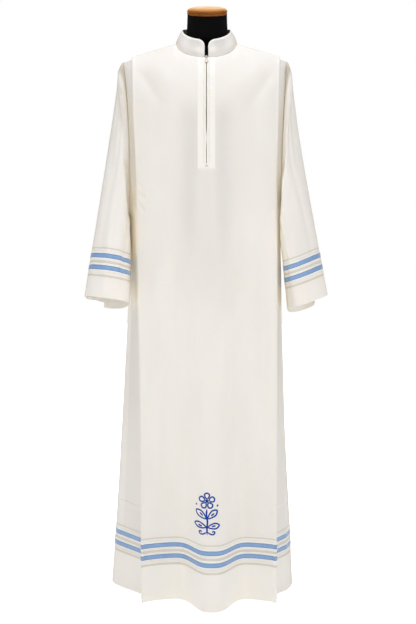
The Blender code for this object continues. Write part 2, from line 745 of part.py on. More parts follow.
def make_zip(front, normals, cloth, tape_cloth, metal):
    """Facing and tape behind the front slit, the chain in it, and the slider with its pull at the top."""
    centre = len(front[0]) // 2
    slit_rows = row_of(ZIP_END_Z) + 1
    facing_rows = row_of(FACING_END_Z) + 1
    first, last = centre - 2, centre + 1
    open_cells = {(r, 1) for r in range(slit_rows - 1)}
    facing = [row[first : last + 1] for row in front[:facing_rows]]
    facing_normals = [row[first : last + 1] for row in normals[:facing_rows]]
    behind_tape = WALL / 2 + 2 * SEAM_GAP + TAPE_THICK
    wall(
        "zip_facing", facing, facing_normals, cloth,
        thick=FACING_THICK, out=-(behind_tape + FACING_THICK / 2), skip=open_cells,
    )  # fmt: skip
    tape = [
        between_columns(front, first, centre - 1, -TAPE_HALF, slit_rows),
        between_columns(front, centre - 1, centre, 0.0, slit_rows),
        between_columns(front, centre, last, TAPE_HALF, slit_rows),
    ]
    rows = [list(points) for points in zip(*tape)]
    behind = WALL / 2 + SEAM_GAP + TAPE_THICK / 2
    wall("zip_tape", rows, grid_normals(rows), tape_cloth, thick=TAPE_THICK, out=-behind)
    chain = [between_columns(front, centre - 1, centre, x, slit_rows) for x in (-CHAIN_HALF, CHAIN_HALF)]
    rows = [list(points) for points in zip(*chain)]
    rows[-1] = [low.lerp(high, CHAIN_END) for low, high in zip(rows[-1], rows[-2])]
    wall("zip_chain", rows, grid_normals(rows), metal, thick=CHAIN_THICK, out=CHAIN_OUT)
    turn, place = zip_frame(front)
    make_slider(turn, place, metal)
    make_pull(turn, place, metal)


# ---- Dress form ----


def ring_points(ring, sides):
    """An oval section, round with power 2 and sharper at its sides with less, sheared by its tilt."""
    points = []
    for i in range(sides):
        turn = 2 * math.pi * i / sides
        x, y = [
            math.copysign(half * abs(part) ** (2 / ring.power), part)
            for half, part in ((ring.half_width, math.cos(turn)), (ring.half_depth, math.sin(turn)))
        ]
        points.append(Vector((ring.centre_x + x, y, ring.z + y * math.tan(ring.tilt))))
    return points


def loft(name, rings, material, angle=40.0):
    build = bmesh.new()
    loops = [[build.verts.new(p) for p in ring] for ring in rings]
    for low, high in zip(loops, loops[1:]):
        for i in range(len(low)):
            j = (i + 1) % len(low)
            build.faces.new((low[i], low[j], high[j], high[i]))
    build.faces.new(loops[0][::-1])
    build.faces.new(loops[-1])
    return mesh_object(name, build, material, angle)


def turned(name, profile, sides, place, material):
    """A solid turned about its own Z from a profile's radii and heights."""
    angles = [2 * math.pi * i / sides for i in range(sides)]
    rings = [
        [place @ Vector((r * math.cos(a), r * math.sin(a), height)) for a in angles] for r, height in profile
    ]
    return loft(name, rings, material)


def make_form(jersey, wood, steel, iron):
    loft("form_torso", [ring_points(ring, FORM_SIDES) for ring in FORM_RINGS], jersey, 60.0)
    cap_place = Matrix.Translation((FORM_X, 0, CAP_Z)) @ Matrix.Rotation(NECK_TILT, 4, "X")
    turned("neck_cap", CAP_PROFILE, FORM_SIDES, cap_place, wood)
    stand = Matrix.Translation((0, BASE_Y, 0))
    pole = (Turn(POLE_R, BOSS_TOP + SEAM_GAP), Turn(POLE_R, FORM_BOTTOM - SEAM_GAP))
    turned("form_pole", pole, POLE_SIDES, stand, steel)
    base = (
        Turn(BASE_R - EDGE, 0.0),
        Turn(BASE_R, EDGE),
        Turn(BASE_R, BASE_THICK - BASE_RIM),
        Turn(BASE_R - BASE_RIM, BASE_THICK),
        Turn(BOSS_R + BASE_RIM, BASE_THICK + BASE_RISE),
        Turn(BOSS_R, BASE_THICK + BASE_RIM),
        Turn(BOSS_R - EDGE, BOSS_TOP),
    )
    turned("base_plate", base, BASE_SIDES, stand, iron)


def ribbon(name, grid, normals, low_row, material, wrap=False):
    """A ribbon sewn on a panel, between two of the panel's rows and just off its outer face."""
    rows = slice(low_row, low_row + 2)
    out = WALL / 2 + SEAM_GAP + RIBBON_THICK / 2
    wall(name, grid[rows], normals[rows], material, thick=RIBBON_THICK, out=out, wrap=wrap)


def make_robe(cloth, satin, tape_cloth, metal):
    front = panel_grid(FRONT)
    back = panel_grid(BACK)
    front_normals = grid_normals(front)
    back_normals = grid_normals(back)
    meet_at_seams(front, front_normals, back, back_normals)
    centre = len(front[0]) // 2 - 1
    slit = {(r, centre) for r in range(row_of(ZIP_END_Z))}
    wall("robe_front", front, front_normals, cloth, skip=slit)
    wall("robe_back", back, back_normals, cloth)
    for i, height in enumerate(HEM_RIBBONS):
        row = row_of(HEM_Z + height + RIBBON_WIDTH)
        level = ("lower", "upper")[i]
        ribbon(f"hem_ribbon_{level}_front", front, front_normals, row, satin)
        ribbon(f"hem_ribbon_{level}_back", back, back_normals, row, satin)
    for side, word in ((-1, "left"), (1, "right")):
        grid = sleeve_grid(side)
        normals = grid_normals(grid, wrap=True)
        wall(f"sleeve_{word}", grid, normals, cloth, wrap=True)
        ribbon(f"sleeve_ribbon_lower_{word}", grid, normals, SLEEVE_ROWS_ABOVE + 2, satin, wrap=True)
        ribbon(f"sleeve_ribbon_upper_{word}", grid, normals, SLEEVE_ROWS_ABOVE, satin, wrap=True)
    collar = collar_grid()
    wall("stand_collar", collar, grid_normals(collar), cloth)
    make_zip(front, front_normals, cloth, tape_cloth, metal)


def main():
    clear_scene()
    cloth = finish("cream_cloth", (0.88, 0.86, 0.80), 0.8)
    satin = finish("blue_satin", (0.25, 0.42, 0.66), 0.35)
    tape_cloth = finish("zip_tape_cloth", (0.80, 0.78, 0.72), 0.8)
    nickel = finish("nickel", (0.70, 0.70, 0.69), 0.3, 1.0)
    jersey = finish("black_jersey", (0.02, 0.02, 0.02), 0.9)
    wood = finish("beech", (0.72, 0.45, 0.25), 0.45)
    steel = finish("steel", (0.55, 0.55, 0.56), 0.3, 1.0)
    iron = finish("black_iron", (0.05, 0.05, 0.05), 0.5, 0.5)
    make_robe(cloth, satin, tape_cloth, nickel)
    make_form(jersey, wood, steel, iron)


main()
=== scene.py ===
"""A long cream alb with a stand collar and a front zip, on a limbless dress form with a wooden neck cap."""

import math
from collections import namedtuple

import bmesh
import bpy
import numpy as np
from mathutils import Matrix, Vector, noise
from mathutils.bvhtree import BVHTree


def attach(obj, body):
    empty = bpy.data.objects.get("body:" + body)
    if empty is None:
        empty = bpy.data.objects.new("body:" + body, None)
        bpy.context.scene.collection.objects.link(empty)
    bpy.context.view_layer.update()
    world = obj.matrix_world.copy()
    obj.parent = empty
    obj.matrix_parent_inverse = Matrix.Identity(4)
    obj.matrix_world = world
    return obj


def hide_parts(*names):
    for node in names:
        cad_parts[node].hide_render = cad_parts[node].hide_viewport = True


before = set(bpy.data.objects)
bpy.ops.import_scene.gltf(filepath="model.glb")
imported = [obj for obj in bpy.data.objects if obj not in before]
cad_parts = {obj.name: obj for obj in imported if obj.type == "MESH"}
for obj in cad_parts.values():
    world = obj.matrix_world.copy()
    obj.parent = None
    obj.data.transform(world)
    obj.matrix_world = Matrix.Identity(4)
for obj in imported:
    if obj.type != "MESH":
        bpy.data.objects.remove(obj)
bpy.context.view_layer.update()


# ---- Stand ----
# A round cast-iron base with a turned boss, painted black, and a drawn steel tube that is set into the
# boss and carries the form. Both are bought parts; the base keeps the tall robe from tipping.

BASE_Y = 0.012
BASE_R = 0.135
BASE_THICK = 0.016
BASE_ROUND = 0.004
BOSS_R = 0.022
BOSS_TOP = 0.034
BOSS_ROUND = 0.0015
BASE_CHAMFER = 0.001
COVE_OUT = 0.005  # the hollow round the boss's foot: how far out, its top above the base and its height
COVE_TOP = 0.0065
COVE_HIGH = 0.0045
POLE_R = 0.0125
POLE_TOP = 0.7397
POLE_CLEAR = 0.0003  # what the pole's end stands above the boss
TURN_SIDES = 96


def principled(name, color, roughness, **sockets):
    """A material with its constant sockets set straight on the shader."""
    material = bpy.data.materials.new(name)
    material.use_nodes = True
    inputs = material.node_tree.nodes["Principled BSDF"].inputs
    inputs["Base Color"].default_value = (*color, 1.0)
    inputs["Roughness"].default_value = roughness
    for socket, value in sockets.items():
        inputs[socket.replace("_", " ")].default_value = value
    return material


def node(material, kind, output, inputs=None, **settings):
    """One output of a new node. Its inputs are given by name or place, as a value or another node's output."""
    made = material.node_tree.nodes.new("ShaderNode" + kind)
    for name, value in settings.items():
        setattr(made, name, value)
    for name, value in (inputs or {}).items():
        if isinstance(value, bpy.types.NodeSocket):
            material.node_tree.links.new(value, made.inputs[name])
        else:
            made.inputs[name].default_value = value
    return made.outputs[output]


def colour_ramp(material, factor, *stops):
    ramp = node(material, "ValToRGB", "Color", {"Fac": factor})
    points = ramp.node.color_ramp.elements
    while len(points) < len(stops):
        points.new(0.5)
    for point, (place, color) in zip(points, stops):
        point.position = place
        point.color = (*color, 1.0)
    return ramp


def ranged(material, value, start, end, low=0.0, high=1.0, kind="LINEAR"):
    """A value that goes from start to end, carried over to a span from low to high."""
    inputs = {"Value": value, "From Min": start, "From Max": end, "To Min": low, "To Max": high}
    return node(material, "MapRange", "Result", inputs, interpolation_type=kind)


def feed(material, socket, output):
    material.node_tree.links.new(output, material.node_tree.nodes["Principled BSDF"].inputs[socket])


def bump(material, height, deep, strength=1.0):
    """Fine relief of a given depth in metres, fed to the shader."""
    relief = node(material, "Bump", "Normal", {"Height": height, "Distance": deep, "Strength": strength})
    feed(material, "Normal", relief)


def cloudy(material, place, scale=1.0, detail=3.0, roughness=0.5):
    inputs = {"Vector": place, "Scale": scale, "Detail": detail, "Roughness": roughness}
    return node(material, "TexNoise", "Fac", inputs)


def grain_of(material, stretch=(1.0, 1.0, 1.0), degrees=0.0):
    """Places measured in metres along and down a piece, from its own grain map."""
    grain = node(material, "UVMap", "UV", uv_map="grain")
    turn = (0.0, 0.0, math.radians(degrees))
    return node(material, "Mapping", "Vector", {"Vector": grain, "Scale": stretch, "Rotation": turn})


def place_on(thing, slot, *nodes, body="robe_and_form"):
    """Hangs a finished piece on its body, in place of the plain solids that it stands for."""
    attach(thing, body)
    if nodes:
        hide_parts(*nodes)
    return thing


def in_scene(name, data):
    thing = bpy.data.objects.new(name, data)
    bpy.context.scene.collection.objects.link(thing)
    return thing


def smooth_piece(name, mesh, material, sharp):
    """A piece with a smooth face, and edges where the mesh turns by more than so many degrees."""
    mesh.shade_smooth()
    mesh.set_sharp_from_angle(angle=math.radians(sharp))
    mesh.materials.append(material)
    return in_scene(name, mesh)


def mesh_piece(name, points, faces, grain, material, sharp=40.0):
    """A smooth mesh with a grain map. The grain has one place for each corner of each face."""
    mesh = bpy.data.meshes.new(name)
    mesh.from_pydata(np.asarray(points).tolist(), [], [list(face) for face in faces])
    layer = mesh.uv_layers.new(name="grain")
    layer.data.foreach_set("uv", np.asarray(grain, np.float32).reshape(-1))
    return smooth_piece(name, mesh, material, sharp)


def tube_faces(count, sides):
    """Faces round a tube of so many rings, and one flat face on each of its ends."""
    walls = [
        [k * sides + j, k * sides + (j + 1) % sides, (k + 1) * sides + (j + 1) % sides, (k + 1) * sides + j]
        for k in range(count - 1)
        for j in range(sides)
    ]
    return [*walls, list(range(sides))[::-1], [(count - 1) * sides + j for j in range(sides)]]


def lofted(name, rings, material, sharp=40.0):
    """A closed body through rings of points, from the lowest up."""
    rings = np.asarray(rings, float)
    count, sides = rings.shape[:2]
    level, side = np.meshgrid(np.arange(count - 1), np.arange(sides), indexing="ij")
    girth = 2 * math.pi * np.linalg.norm(rings - rings.mean(1, keepdims=True), axis=2).mean()
    climbs = np.linalg.norm(np.diff(rings, axis=0), axis=2).mean(1)
    heights = np.concatenate(([0.0], np.cumsum(climbs)))
    low, high = heights[level], heights[level + 1]
    start, end = side / sides * girth, (side + 1) / sides * girth
    grain = np.stack((start, low, end, low, end, high, start, high), -1).reshape(-1, 2)
    grain = np.concatenate((grain, rings[0][::-1, :2], rings[-1][:, :2]))
    return mesh_piece(name, rings.reshape(-1, 3), tube_faces(count, sides), grain, material, sharp)


def turned(name, profile, place, material, sharp=40.0):
    """A body turned about its own upright axis, from a profile of (radius, height) pairs."""
    angles = np.arange(TURN_SIDES) / TURN_SIDES * 2 * math.pi
    circle = np.stack((np.cos(angles), np.sin(angles), np.zeros(TURN_SIDES)), -1)
    rings = [[place @ Vector(p) for p in radius * circle + (0, 0, height)] for radius, height in profile]
    return lofted(name, rings, material, sharp)


def rounded(corner_r, corner_z, size, steps=6):
    """A quarter round on a profile, from the side face to the top face of a corner."""
    turns = [math.pi / 2 * i / steps for i in range(steps + 1)]
    return [(corner_r - size * (1 - math.cos(t)), corner_z - size * (1 - math.sin(t))) for t in turns]


black_iron = principled("black_iron", (0.020, 0.020, 0.021), 0.45, Coat_Weight=0.25, Coat_Roughness=0.3)
iron_place = node(black_iron, "TexCoord", "Object")
bump(black_iron, cloudy(black_iron, iron_place, 420.0, 4.0), 0.0003, 0.6)
wear = cloudy(black_iron, iron_place, 30.0)
worn_paint = colour_ramp(black_iron, wear, (0.35, (0.016, 0.016, 0.017)), (0.75, (0.030, 0.029, 0.028)))
feed(black_iron, "Base Color", worn_paint)

steel_tube = principled("steel_tube", (0.55, 0.55, 0.56), 0.30, Metallic=1.0)
drawn_marks = cloudy(steel_tube, grain_of(steel_tube, (900.0, 12.0, 1.0)))
feed(steel_tube, "Roughness", ranged(steel_tube, drawn_marks, 0.0, 1.0, 0.22, 0.42))
bump(steel_tube, drawn_marks, 0.00004)

stand_place = Matrix.Translation((0, BASE_Y, 0))
cove = [
    (BOSS_R + COVE_OUT * (1 - math.sin(t)), BASE_THICK + COVE_TOP - COVE_HIGH * math.cos(t))
    for t in (0.4, 0.8, 1.2, 1.57)
]
base_profile = [
    (BASE_R - BASE_CHAMFER, 0.0),
    (BASE_R, BASE_CHAMFER),
    *rounded(BASE_R, BASE_THICK, BASE_ROUND),
    (BASE_R * 0.6, BASE_THICK + 0.0008),
    (BOSS_R + 0.006, BASE_THICK + 0.0018),
    *cove,
    *rounded(BOSS_R, BOSS_TOP, BOSS_ROUND),
    (POLE_R + BASE_CHAMFER, BOSS_TOP),
]
place_on(turned("stand_base", base_profile, stand_place, black_iron), "black_iron", "base_plate")
pole_profile = [(POLE_R, height) for height in (BOSS_TOP + POLE_CLEAR, POLE_TOP / 2, POLE_TOP)]
place_on(turned("stand_pole", pole_profile, stand_place, steel_tube), "steel_tube", "form_pole")


# ---- Form ----
# A limbless torso of hard foam covered in one tight tube of black cotton jersey. Only its neck shows, where
# the knit is stretched and its rows of stitches run up the neck.

FORM_X = 0.002
NECK_TILT = 12.0
# Power 2 is an oval, less is sharper at its sides. The tilt is in degrees.
Ring = namedtuple("Ring", "z half_width half_depth power centre_x tilt", defaults=(2.0, 0.0, 0.0))
FORM_RINGS = (
    Ring(0.7400, 0.1600, 0.0980),
    Ring(0.7480, 0.1660, 0.1030),
    Ring(0.8200, 0.1680, 0.1050),
    Ring(0.9000, 0.1560, 0.0970),
    Ring(1.0000, 0.1420, 0.0860),
    Ring(1.1000, 0.1520, 0.0930),
    Ring(1.2000, 0.1680, 0.1040),
    Ring(1.2900, 0.1760, 0.1060),
    Ring(1.3500, 0.1820, 0.1000),
    Ring(1.4000, 0.1850, 0.0880),
    Ring(1.4350, 0.1840, 0.0760),
    Ring(1.4500, 0.1810, 0.0720),
    Ring(1.4640, 0.1730, 0.0650, 1.8),
    Ring(1.4720, 0.1590, 0.0600, 1.6),
    Ring(1.4790, 0.1570, 0.0560, 1.4),
    Ring(1.4850, 0.1450, 0.0540, 1.3),
    Ring(1.4960, 0.1080, 0.0430, 1.1, FORM_X / 2),
    Ring(1.5030, 0.0765, 0.0460, 1.5, FORM_X / 2),
    Ring(1.5060, 0.0715, 0.0510, 1.7, FORM_X / 2),
    Ring(1.5130, 0.0650, 0.0545, 1.9, FORM_X / 2),
    Ring(1.5300, 0.0560, 0.0545, 2.0, FORM_X, 4.0),
    Ring(1.5550, 0.0535, 0.0530, 2.0, FORM_X, 9.0),
    Ring(1.5822, 0.0525, 0.0525, 2.0, FORM_X, NECK_TILT),
)
NECK_Z = 1.506
NECK_STEPS = 8
KNIT_PITCH = 0.0013


def worked(material, operation, first, second=0.0):
    return node(material, "Math", "Value", {0: first, 1: second}, operation=operation)


def ribbed(material, place, pitch, distortion, detail_scale=1.0, across="X"):
    """Even lines at a pitch in metres, as rows of threads lie."""
    inputs = {"Vector": place, "Scale": math.pi / 10 / pitch, "Distortion": distortion, "Detail Scale": detail_scale}
    return node(material, "TexWave", "Fac", inputs, bands_direction=across)


def curve(t, start, leave, end, reach):
    """A place on a smooth curve from start to end, which leaves the one and reaches the other at given speeds."""
    return (
        (2 * t**3 - 3 * t**2 + 1) * start + (t**3 - 2 * t**2 + t) * leave
        + (3 * t**2 - 2 * t**3) * end + (t**3 - t**2) * reach
    )  # fmt: skip


def smooth_through(points, counts):
    """Places on a smooth curve through given ones, with so many steps on each stretch between two of them."""
    points = np.asarray(points, float)
    steps = np.diff(points, axis=-2)
    lengths = np.linalg.norm(steps, axis=-1, keepdims=True) + 1e-9
    speed = steps / lengths
    before, after = lengths[..., :-1, :], lengths[..., 1:, :]
    middle = (speed[..., :-1, :] * after + speed[..., 1:, :] * before) / (before + after)
    slopes = np.concatenate((speed[..., :1, :], middle, speed[..., -1:, :]), axis=-2)
    # beside a much shorter stretch the curve turns soon, so that it can't swing out past its points
    leaves = np.minimum(lengths, 2 * np.concatenate((lengths[..., :1, :], before), axis=-2))
    reaches = np.minimum(lengths, 2 * np.concatenate((after, lengths[..., -1:, :]), axis=-2))
    parts = []
    for i, count in enumerate(counts):
        a, b = slice(i, i + 1), slice(i + 1, i + 2)
        leave, reach = slopes[..., a, :] * leaves[..., a, :], slopes[..., b, :] * reaches[..., a, :]
        parts.append(curve((np.arange(count) / count)[:, None], points[..., a, :], leave, points[..., b, :], reach))
    return np.concatenate((*parts, points[..., -1:, :]), axis=-2)


def ring_points(ring):
    angles = np.arange(TURN_SIDES) / TURN_SIDES * 2 * math.pi
    x, y = (
        half * np.sign(part) * abs(part) ** (2 / ring.power)
        for half, part in ((ring.half_width, np.cos(angles)), (ring.half_depth, np.sin(angles)))
    )
    return np.stack((ring.centre_x + x, y, ring.z + y * math.tan(math.radians(ring.tilt))), -1)


def form_rings():
    """The torso runs straight from ring to ring, and the neck that shows sweeps through its own."""
    body = [ring_points(ring) for ring in FORM_RINGS if ring.z < NECK_Z]
    neck = [ring_points(ring) for ring in FORM_RINGS if ring.z >= NECK_Z]
    neck = smooth_through(np.stack(neck, 1), [NECK_STEPS] * (len(neck) - 1))
    return np.concatenate((body, neck.transpose(1, 0, 2)))


black_jersey = principled(
    "black_jersey", (0.004, 0.004, 0.004), 0.85, Sheen_Weight=0.01, Sheen_Roughness=0.45, Specular_IOR_Level=0.05
)
knit_grain = grain_of(black_jersey)
ribs = ribbed(black_jersey, knit_grain, KNIT_PITCH, 0.4, 2.0)
courses = ribbed(black_jersey, knit_grain, KNIT_PITCH * 0.8, 0.5, 2.0, "Y")
knit = worked(black_jersey, "ADD", ribs, courses)
bump(black_jersey, knit, 0.0002, 0.6)
knit_colour = colour_ramp(black_jersey, knit, (0.2, (0.001, 0.001, 0.001)), (0.9, (0.003, 0.003, 0.003)))
feed(black_jersey, "Base Color", knit_colour)
form_piece = lofted("form_body", form_rings(), black_jersey, 60.0)
place_on(form_piece, "black_jersey", "form_torso")


# ---- Neck cap ----
# A beech disc turned on a lathe with a bead, a groove and a low dome, stained orange-brown and varnished,
# and screwed down on the form's sloping neck.

CAP_Z = 1.5825
CAP_PROFILE = (
    (0.0515, 0.0000),
    (0.0532, 0.0012),
    (0.0532, 0.0040),
    (0.0512, 0.0050),
    (0.0512, 0.0058),
    (0.0535, 0.0072),
    (0.0530, 0.0100),
    (0.0505, 0.0135),
    (0.0460, 0.0160),
    (0.0250, 0.0180),
    (0.0040, 0.0186),
)


def mixed(material, share, first, second, kind="MIX"):
    """Two colours mixed. A colour is a plain one or another node's output."""
    first, second = ((*color, 1.0) if isinstance(color, tuple) else color for color in (first, second))
    return node(material, "Mix", 2, {0: share, 6: first, 7: second}, data_type="RGBA", blend_type=kind)


turned_wood = principled(
    "turned_wood", (0.60, 0.29, 0.09), 0.5, Coat_Weight=0.04, Coat_Roughness=0.25, Specular_IOR_Level=0.12
)
wood_place = node(turned_wood, "TexCoord", "Object")
along_grain = node(turned_wood, "Mapping", "Vector", {"Vector": wood_place, "Scale": (14.0, 150.0, 60.0)})
grain_lines = cloudy(turned_wood, along_grain, 1.0, 5.0, 0.6)
wood_colour = colour_ramp(
    turned_wood, grain_lines,
    (0.28, (0.400, 0.150, 0.028)), (0.48, (0.640, 0.290, 0.066)), (0.75, (0.740, 0.370, 0.100)),
)  # fmt: skip
wood_height = node(turned_wood, "SeparateXYZ", "Z", {"Vector": wood_place})
# darker towards the cap's lower edge
darker_low_down = ranged(turned_wood, wood_height, CAP_Z + 0.0145, CAP_Z + 0.0035, 0.0, 0.9)
darkened_wood = mixed(turned_wood, darker_low_down, wood_colour, (0.300, 0.150, 0.060), "MULTIPLY")
# faces that point up take a flat orange-brown without the grain
facing = node(turned_wood, "NewGeometry", "Normal")
upward_faces = ranged(turned_wood, node(turned_wood, "SeparateXYZ", "Z", {"Vector": facing}), 0.35, 0.95)
feed(turned_wood, "Base Color", mixed(turned_wood, upward_faces, darkened_wood, (0.590, 0.280, 0.060)))
bump(turned_wood, grain_lines, 0.00006)
cap_place = Matrix.Translation((FORM_X, 0, CAP_Z)) @ Matrix.Rotation(math.radians(NECK_TILT), 4, "X")
cap_profile = smooth_through(CAP_PROFILE, [4] * (len(CAP_PROFILE) - 1))
place_on(turned("neck_block_cap", cap_profile, cap_place, turned_wood, 60.0), "turned_wood", "neck_cap")


# ---- Front and back ----
# Two panels of cream wool and polyester twill, each cut in one piece with a deep pleat that is pressed in at
# the shoulder seam, under each armhole line, and falls open to the hem. The front is slit for the zip.

CLOTH = 0.0012
SEAM_GAP = 0.0003
HEM_Z = 0.014
UNDERARM_Z = 1.050
CHEST_Z = 1.330
NECK_SIDE_Z = 1.506
SHOULDER_FALL = 0.295  # drop of the shoulder seam for each metre outwards
BEND = 0.5523  # handle length of a quarter bend
SIDE_SLOPE = math.radians(8.0)  # how steeply the cloth leaves the shoulder seam
NECK_HALF = 0.081
NECK_FRONT = 0.085
NECK_BACK = 0.074
NECK_FRONT_DROP = 0.0413
NECK_BACK_RISE = 0.022
SLIT = 0.0030
ZIP_END_Z = 1.193
FACING_END_Z = 1.178
FACING_HALF = 0.0235

# The pleat: fold radius and how far the layers lie apart, pressed at the shoulder and open at the hem
PLEAT_DEEP = 0.034
LAYER = 0.0038
FOLD_R_HEM = 0.003
INNER_R_HEM = 0.005
INNER_GAP_HEM = 0.016
UNDER_GAP_HEM = 0.0628

# How far the pleat's fold, the side seam and the widest point lie from the centre at each height
Side = namedtuple("Side", "z fold seam widest")
SIDES = {
    -1: (
        Side(0.014, 0.1758, 0.2370, 0.2690),
        Side(0.200, 0.1763, 0.2285, 0.2540),
        Side(0.430, 0.1769, 0.2190, 0.2380),
        Side(0.620, 0.1784, 0.2110, 0.2262),
        Side(0.800, 0.1813, 0.2055, 0.2150),
        Side(0.950, 0.1840, 0.2065, 0.2090),
        Side(1.050, 0.1852, 0.2110, 0.2110),
        Side(1.166, 0.1862, 0.2135, 0.2135),
        Side(1.330, 0.1930, 0.2171, 0.2171),
        Side(1.460, 0.1985, 0.2200, 0.2200),
    ),
    1: (
        Side(0.014, 0.1893, 0.2235, 0.2425),
        Side(0.200, 0.1893, 0.2175, 0.2325),
        Side(0.430, 0.1893, 0.2095, 0.2190),
        Side(0.620, 0.1885, 0.2050, 0.2120),
        Side(0.800, 0.1879, 0.2015, 0.2055),
        Side(0.950, 0.1865, 0.2010, 0.2030),
        Side(1.050, 0.1860, 0.2045, 0.2045),
        Side(1.166, 0.1863, 0.2069, 0.2069),
        Side(1.330, 0.1898, 0.2103, 0.2103),
        Side(1.460, 0.1950, 0.2130, 0.2130),
    ),
}
SEAM_FORWARD = {-1: 0.045, 1: 0.068}  # how far the side seams swing forward at the hem
BOW_AT = 0.6  # the back's side layer bows out to the widest point
BOW_DEPTH = 0.3
BOW_HEIGHT = 0.15

# Of each panel: which way it faces, its slope at the neckline's middle, its depth at the centre and at the
# pleat's fold, each at chest and hem, the armhole's depth, the standing folds, and how the layer from the
# pleat to the side seam is stepped
Panel = namedtuple(
    "Panel", "facing neck_slope chest_centre chest_fold hem_centre hem_fold armhole waves side_steps under_steps"
)
Wave = namedtuple("Wave", "x deep half_width")
FRONT = Panel(
    -1, math.radians(45.0), 0.122, 0.062, 0.128, 0.166, 0.046, (Wave(0.0140, 0.1045, 0.0585),), (0.5, 1.0), (6, 6)
)
BACK = Panel(
    1, math.radians(30.0), 0.116, 0.060, 0.142, 0.168, 0.050, (Wave(-0.078, 0.050, 0.042), Wave(0.062, 0.064, 0.046)),
    (0.3, 0.55, 0.8, 1.0), (4, 4, 4, 4),
)  # fmt: skip
CHEST_CURVE = 2.2
HEM_CURVE = 3.0
WAVE_GROWTH = 2.15
WAVE_SHAPE = 3.0

# Upright lines of a panel from its centre out to the pleat: distance from the centre above and below the
# chest, and the steps that the cloth takes to the next one
Line = namedtuple("Line", "top low steps")
LINES = (
    Line(SLIT / 2, SLIT / 2, 6),
    Line(0.0090, 0.0090, 6),
    Line(FACING_HALF, FACING_HALF, 5),
    Line(0.0430, 0.0430, 4),
    Line(0.0600, 0.0590, 4),
    Line(0.0710, 0.0740, 4),
    Line(0.0785, 0.0890, 4),
    Line(NECK_HALF, 0.1030, 5),
    Line(0.1060, 0.1220, 4),
    Line(0.1340, 0.1400, 5),
    Line(0.1570, 0.1600, 4),
    Line(0.1770, 0.1770, 0),
)
FOLD_REST = 0.190  # the fold's usual distance, which the outer lines follow
PLEAT_STEPS = (4, 3, 3, 6, 3, 3, 7)

# Rows: steps over the shoulder, then heights down to the zip's end, the underarm and the hem
OVER_SHOULDER = 28
ROW_Z = [
    high + (low - high) * i / count
    for high, low, count in ((CHEST_Z, ZIP_END_Z, 28), (ZIP_END_Z, UNDERARM_Z, 28), (UNDERARM_Z, HEM_Z, 150))
    for i in range(1, count + 1)
]


def row_at(z):
    """The row nearest to a height below the chest."""
    return OVER_SHOULDER + 1 + min(range(len(ROW_Z)), key=lambda i: abs(ROW_Z[i] - z))


UNDERARM_ROW, SLIT_ROWS = row_at(UNDERARM_Z), row_at(ZIP_END_Z)


def blend(a, b, share):
    return a + (b - a) * share


def read(rows, name, at, key="z"):
    """One column of a table at a place between its rows, along a smooth curve."""
    rows = sorted(rows, key=lambda row: getattr(row, key))
    places, values = ([getattr(row, word) for row in rows] for word in (key, name))
    at = min(max(at, places[0]), places[-1])
    i = max(k for k in range(len(rows) - 1) if places[k] <= at)
    span = places[i + 1] - places[i]
    around = [(max(k - 1, 0), min(k + 1, len(rows) - 1)) for k in (i, i + 1)]
    leave, reach = (span * (values[b] - values[a]) / (places[b] - places[a]) for a, b in around)
    return curve((at - places[i]) / span, values[i], leave, values[i + 1], reach)


def shoulder_z(x):
    return NECK_SIDE_Z - SHOULDER_FALL * (abs(x) - NECK_HALF)


def neckline(turn):
    """A point of the neckline. Turn is 0 at the centre front, 90 degrees at the side, 180 at the back."""
    forward = math.cos(turn)
    reach, rise = (NECK_FRONT, -NECK_FRONT_DROP) if forward > 0 else (NECK_BACK, -NECK_BACK_RISE)
    return Vector((NECK_HALF * math.sin(turn), -reach * forward, NECK_SIDE_Z + rise * forward))


def fall(z):
    """How far down a height is between the chest and the hem, 0 to 1."""
    return max(0.0, (CHEST_Z - z) / (CHEST_Z - HEM_Z))


def upright_lines(panel):
    """The upright lines of a panel, close together. Those in the neckline are spaced along its curve."""
    quarter = NECK_HALF * math.pi / 2
    along = []
    for top, low, _ in LINES:
        s = NECK_HALF * math.asin(top / NECK_HALF) if top < NECK_HALF else quarter + top - NECK_HALF
        along.append((s, low))
    if panel is BACK:
        along[0] = (0.0, 0.0)
    return [
        (NECK_HALF * math.sin(s / NECK_HALF) if s < quarter - 1e-9 else NECK_HALF + s - quarter, low)
        for s, low in smooth_through(along, [line.steps for line in LINES[:-1]])
    ]


upright = {panel: upright_lines(panel) for panel in (FRONT, BACK)}


def sheet_depth(panel, x, z, fold):
    """Depth of a panel's outer layer."""
    t = fall(z)
    q = min(abs(x) / fold, 1.0)
    chest = blend(panel.chest_centre, panel.chest_fold, q**CHEST_CURVE)
    hem = blend(panel.hem_centre, panel.hem_fold, q**HEM_CURVE)
    waves = sum(w.deep * math.exp(-(abs((x - w.x) / w.half_width) ** WAVE_SHAPE)) for w in panel.waves)
    return blend(chest, hem, t) + waves * t**WAVE_GROWTH


def armhole_heights(side):
    """The height of the armhole's middle, and half its length."""
    tip_z = shoulder_z(SIDES[side][-1].seam) - 2 * LAYER
    return (tip_z + UNDERARM_Z) / 2, (tip_z - UNDERARM_Z) / 2


def armhole(side, panel, z):
    """A point of the armhole's edge at a height."""
    middle, half = armhole_heights(side)
    up = min(max((z - middle) / half, -1.0), 1.0)
    x = blend(read(SIDES[side], "seam", UNDERARM_Z), SIDES[side][-1].seam, (z - UNDERARM_Z) / (2 * half))
    return Vector((side * x, panel.facing * panel.armhole * math.sqrt(1 - up * up), z))


def pleat_lines(fold, deep, r, inner_deep, inner_r, under_deep):
    """Distance and depth of the pleat's lines, round its outer fold, its inner fold and back behind the outer one."""
    inner = fold - PLEAT_DEEP
    return [
        (fold - r, deep),
        (fold, deep - r),
        (fold - r, deep - 2 * r),
        (inner + inner_r, inner_deep + inner_r),
        (inner, inner_deep),
        (inner + inner_r, inner_deep - inner_r),
        (fold, under_deep),
    ]


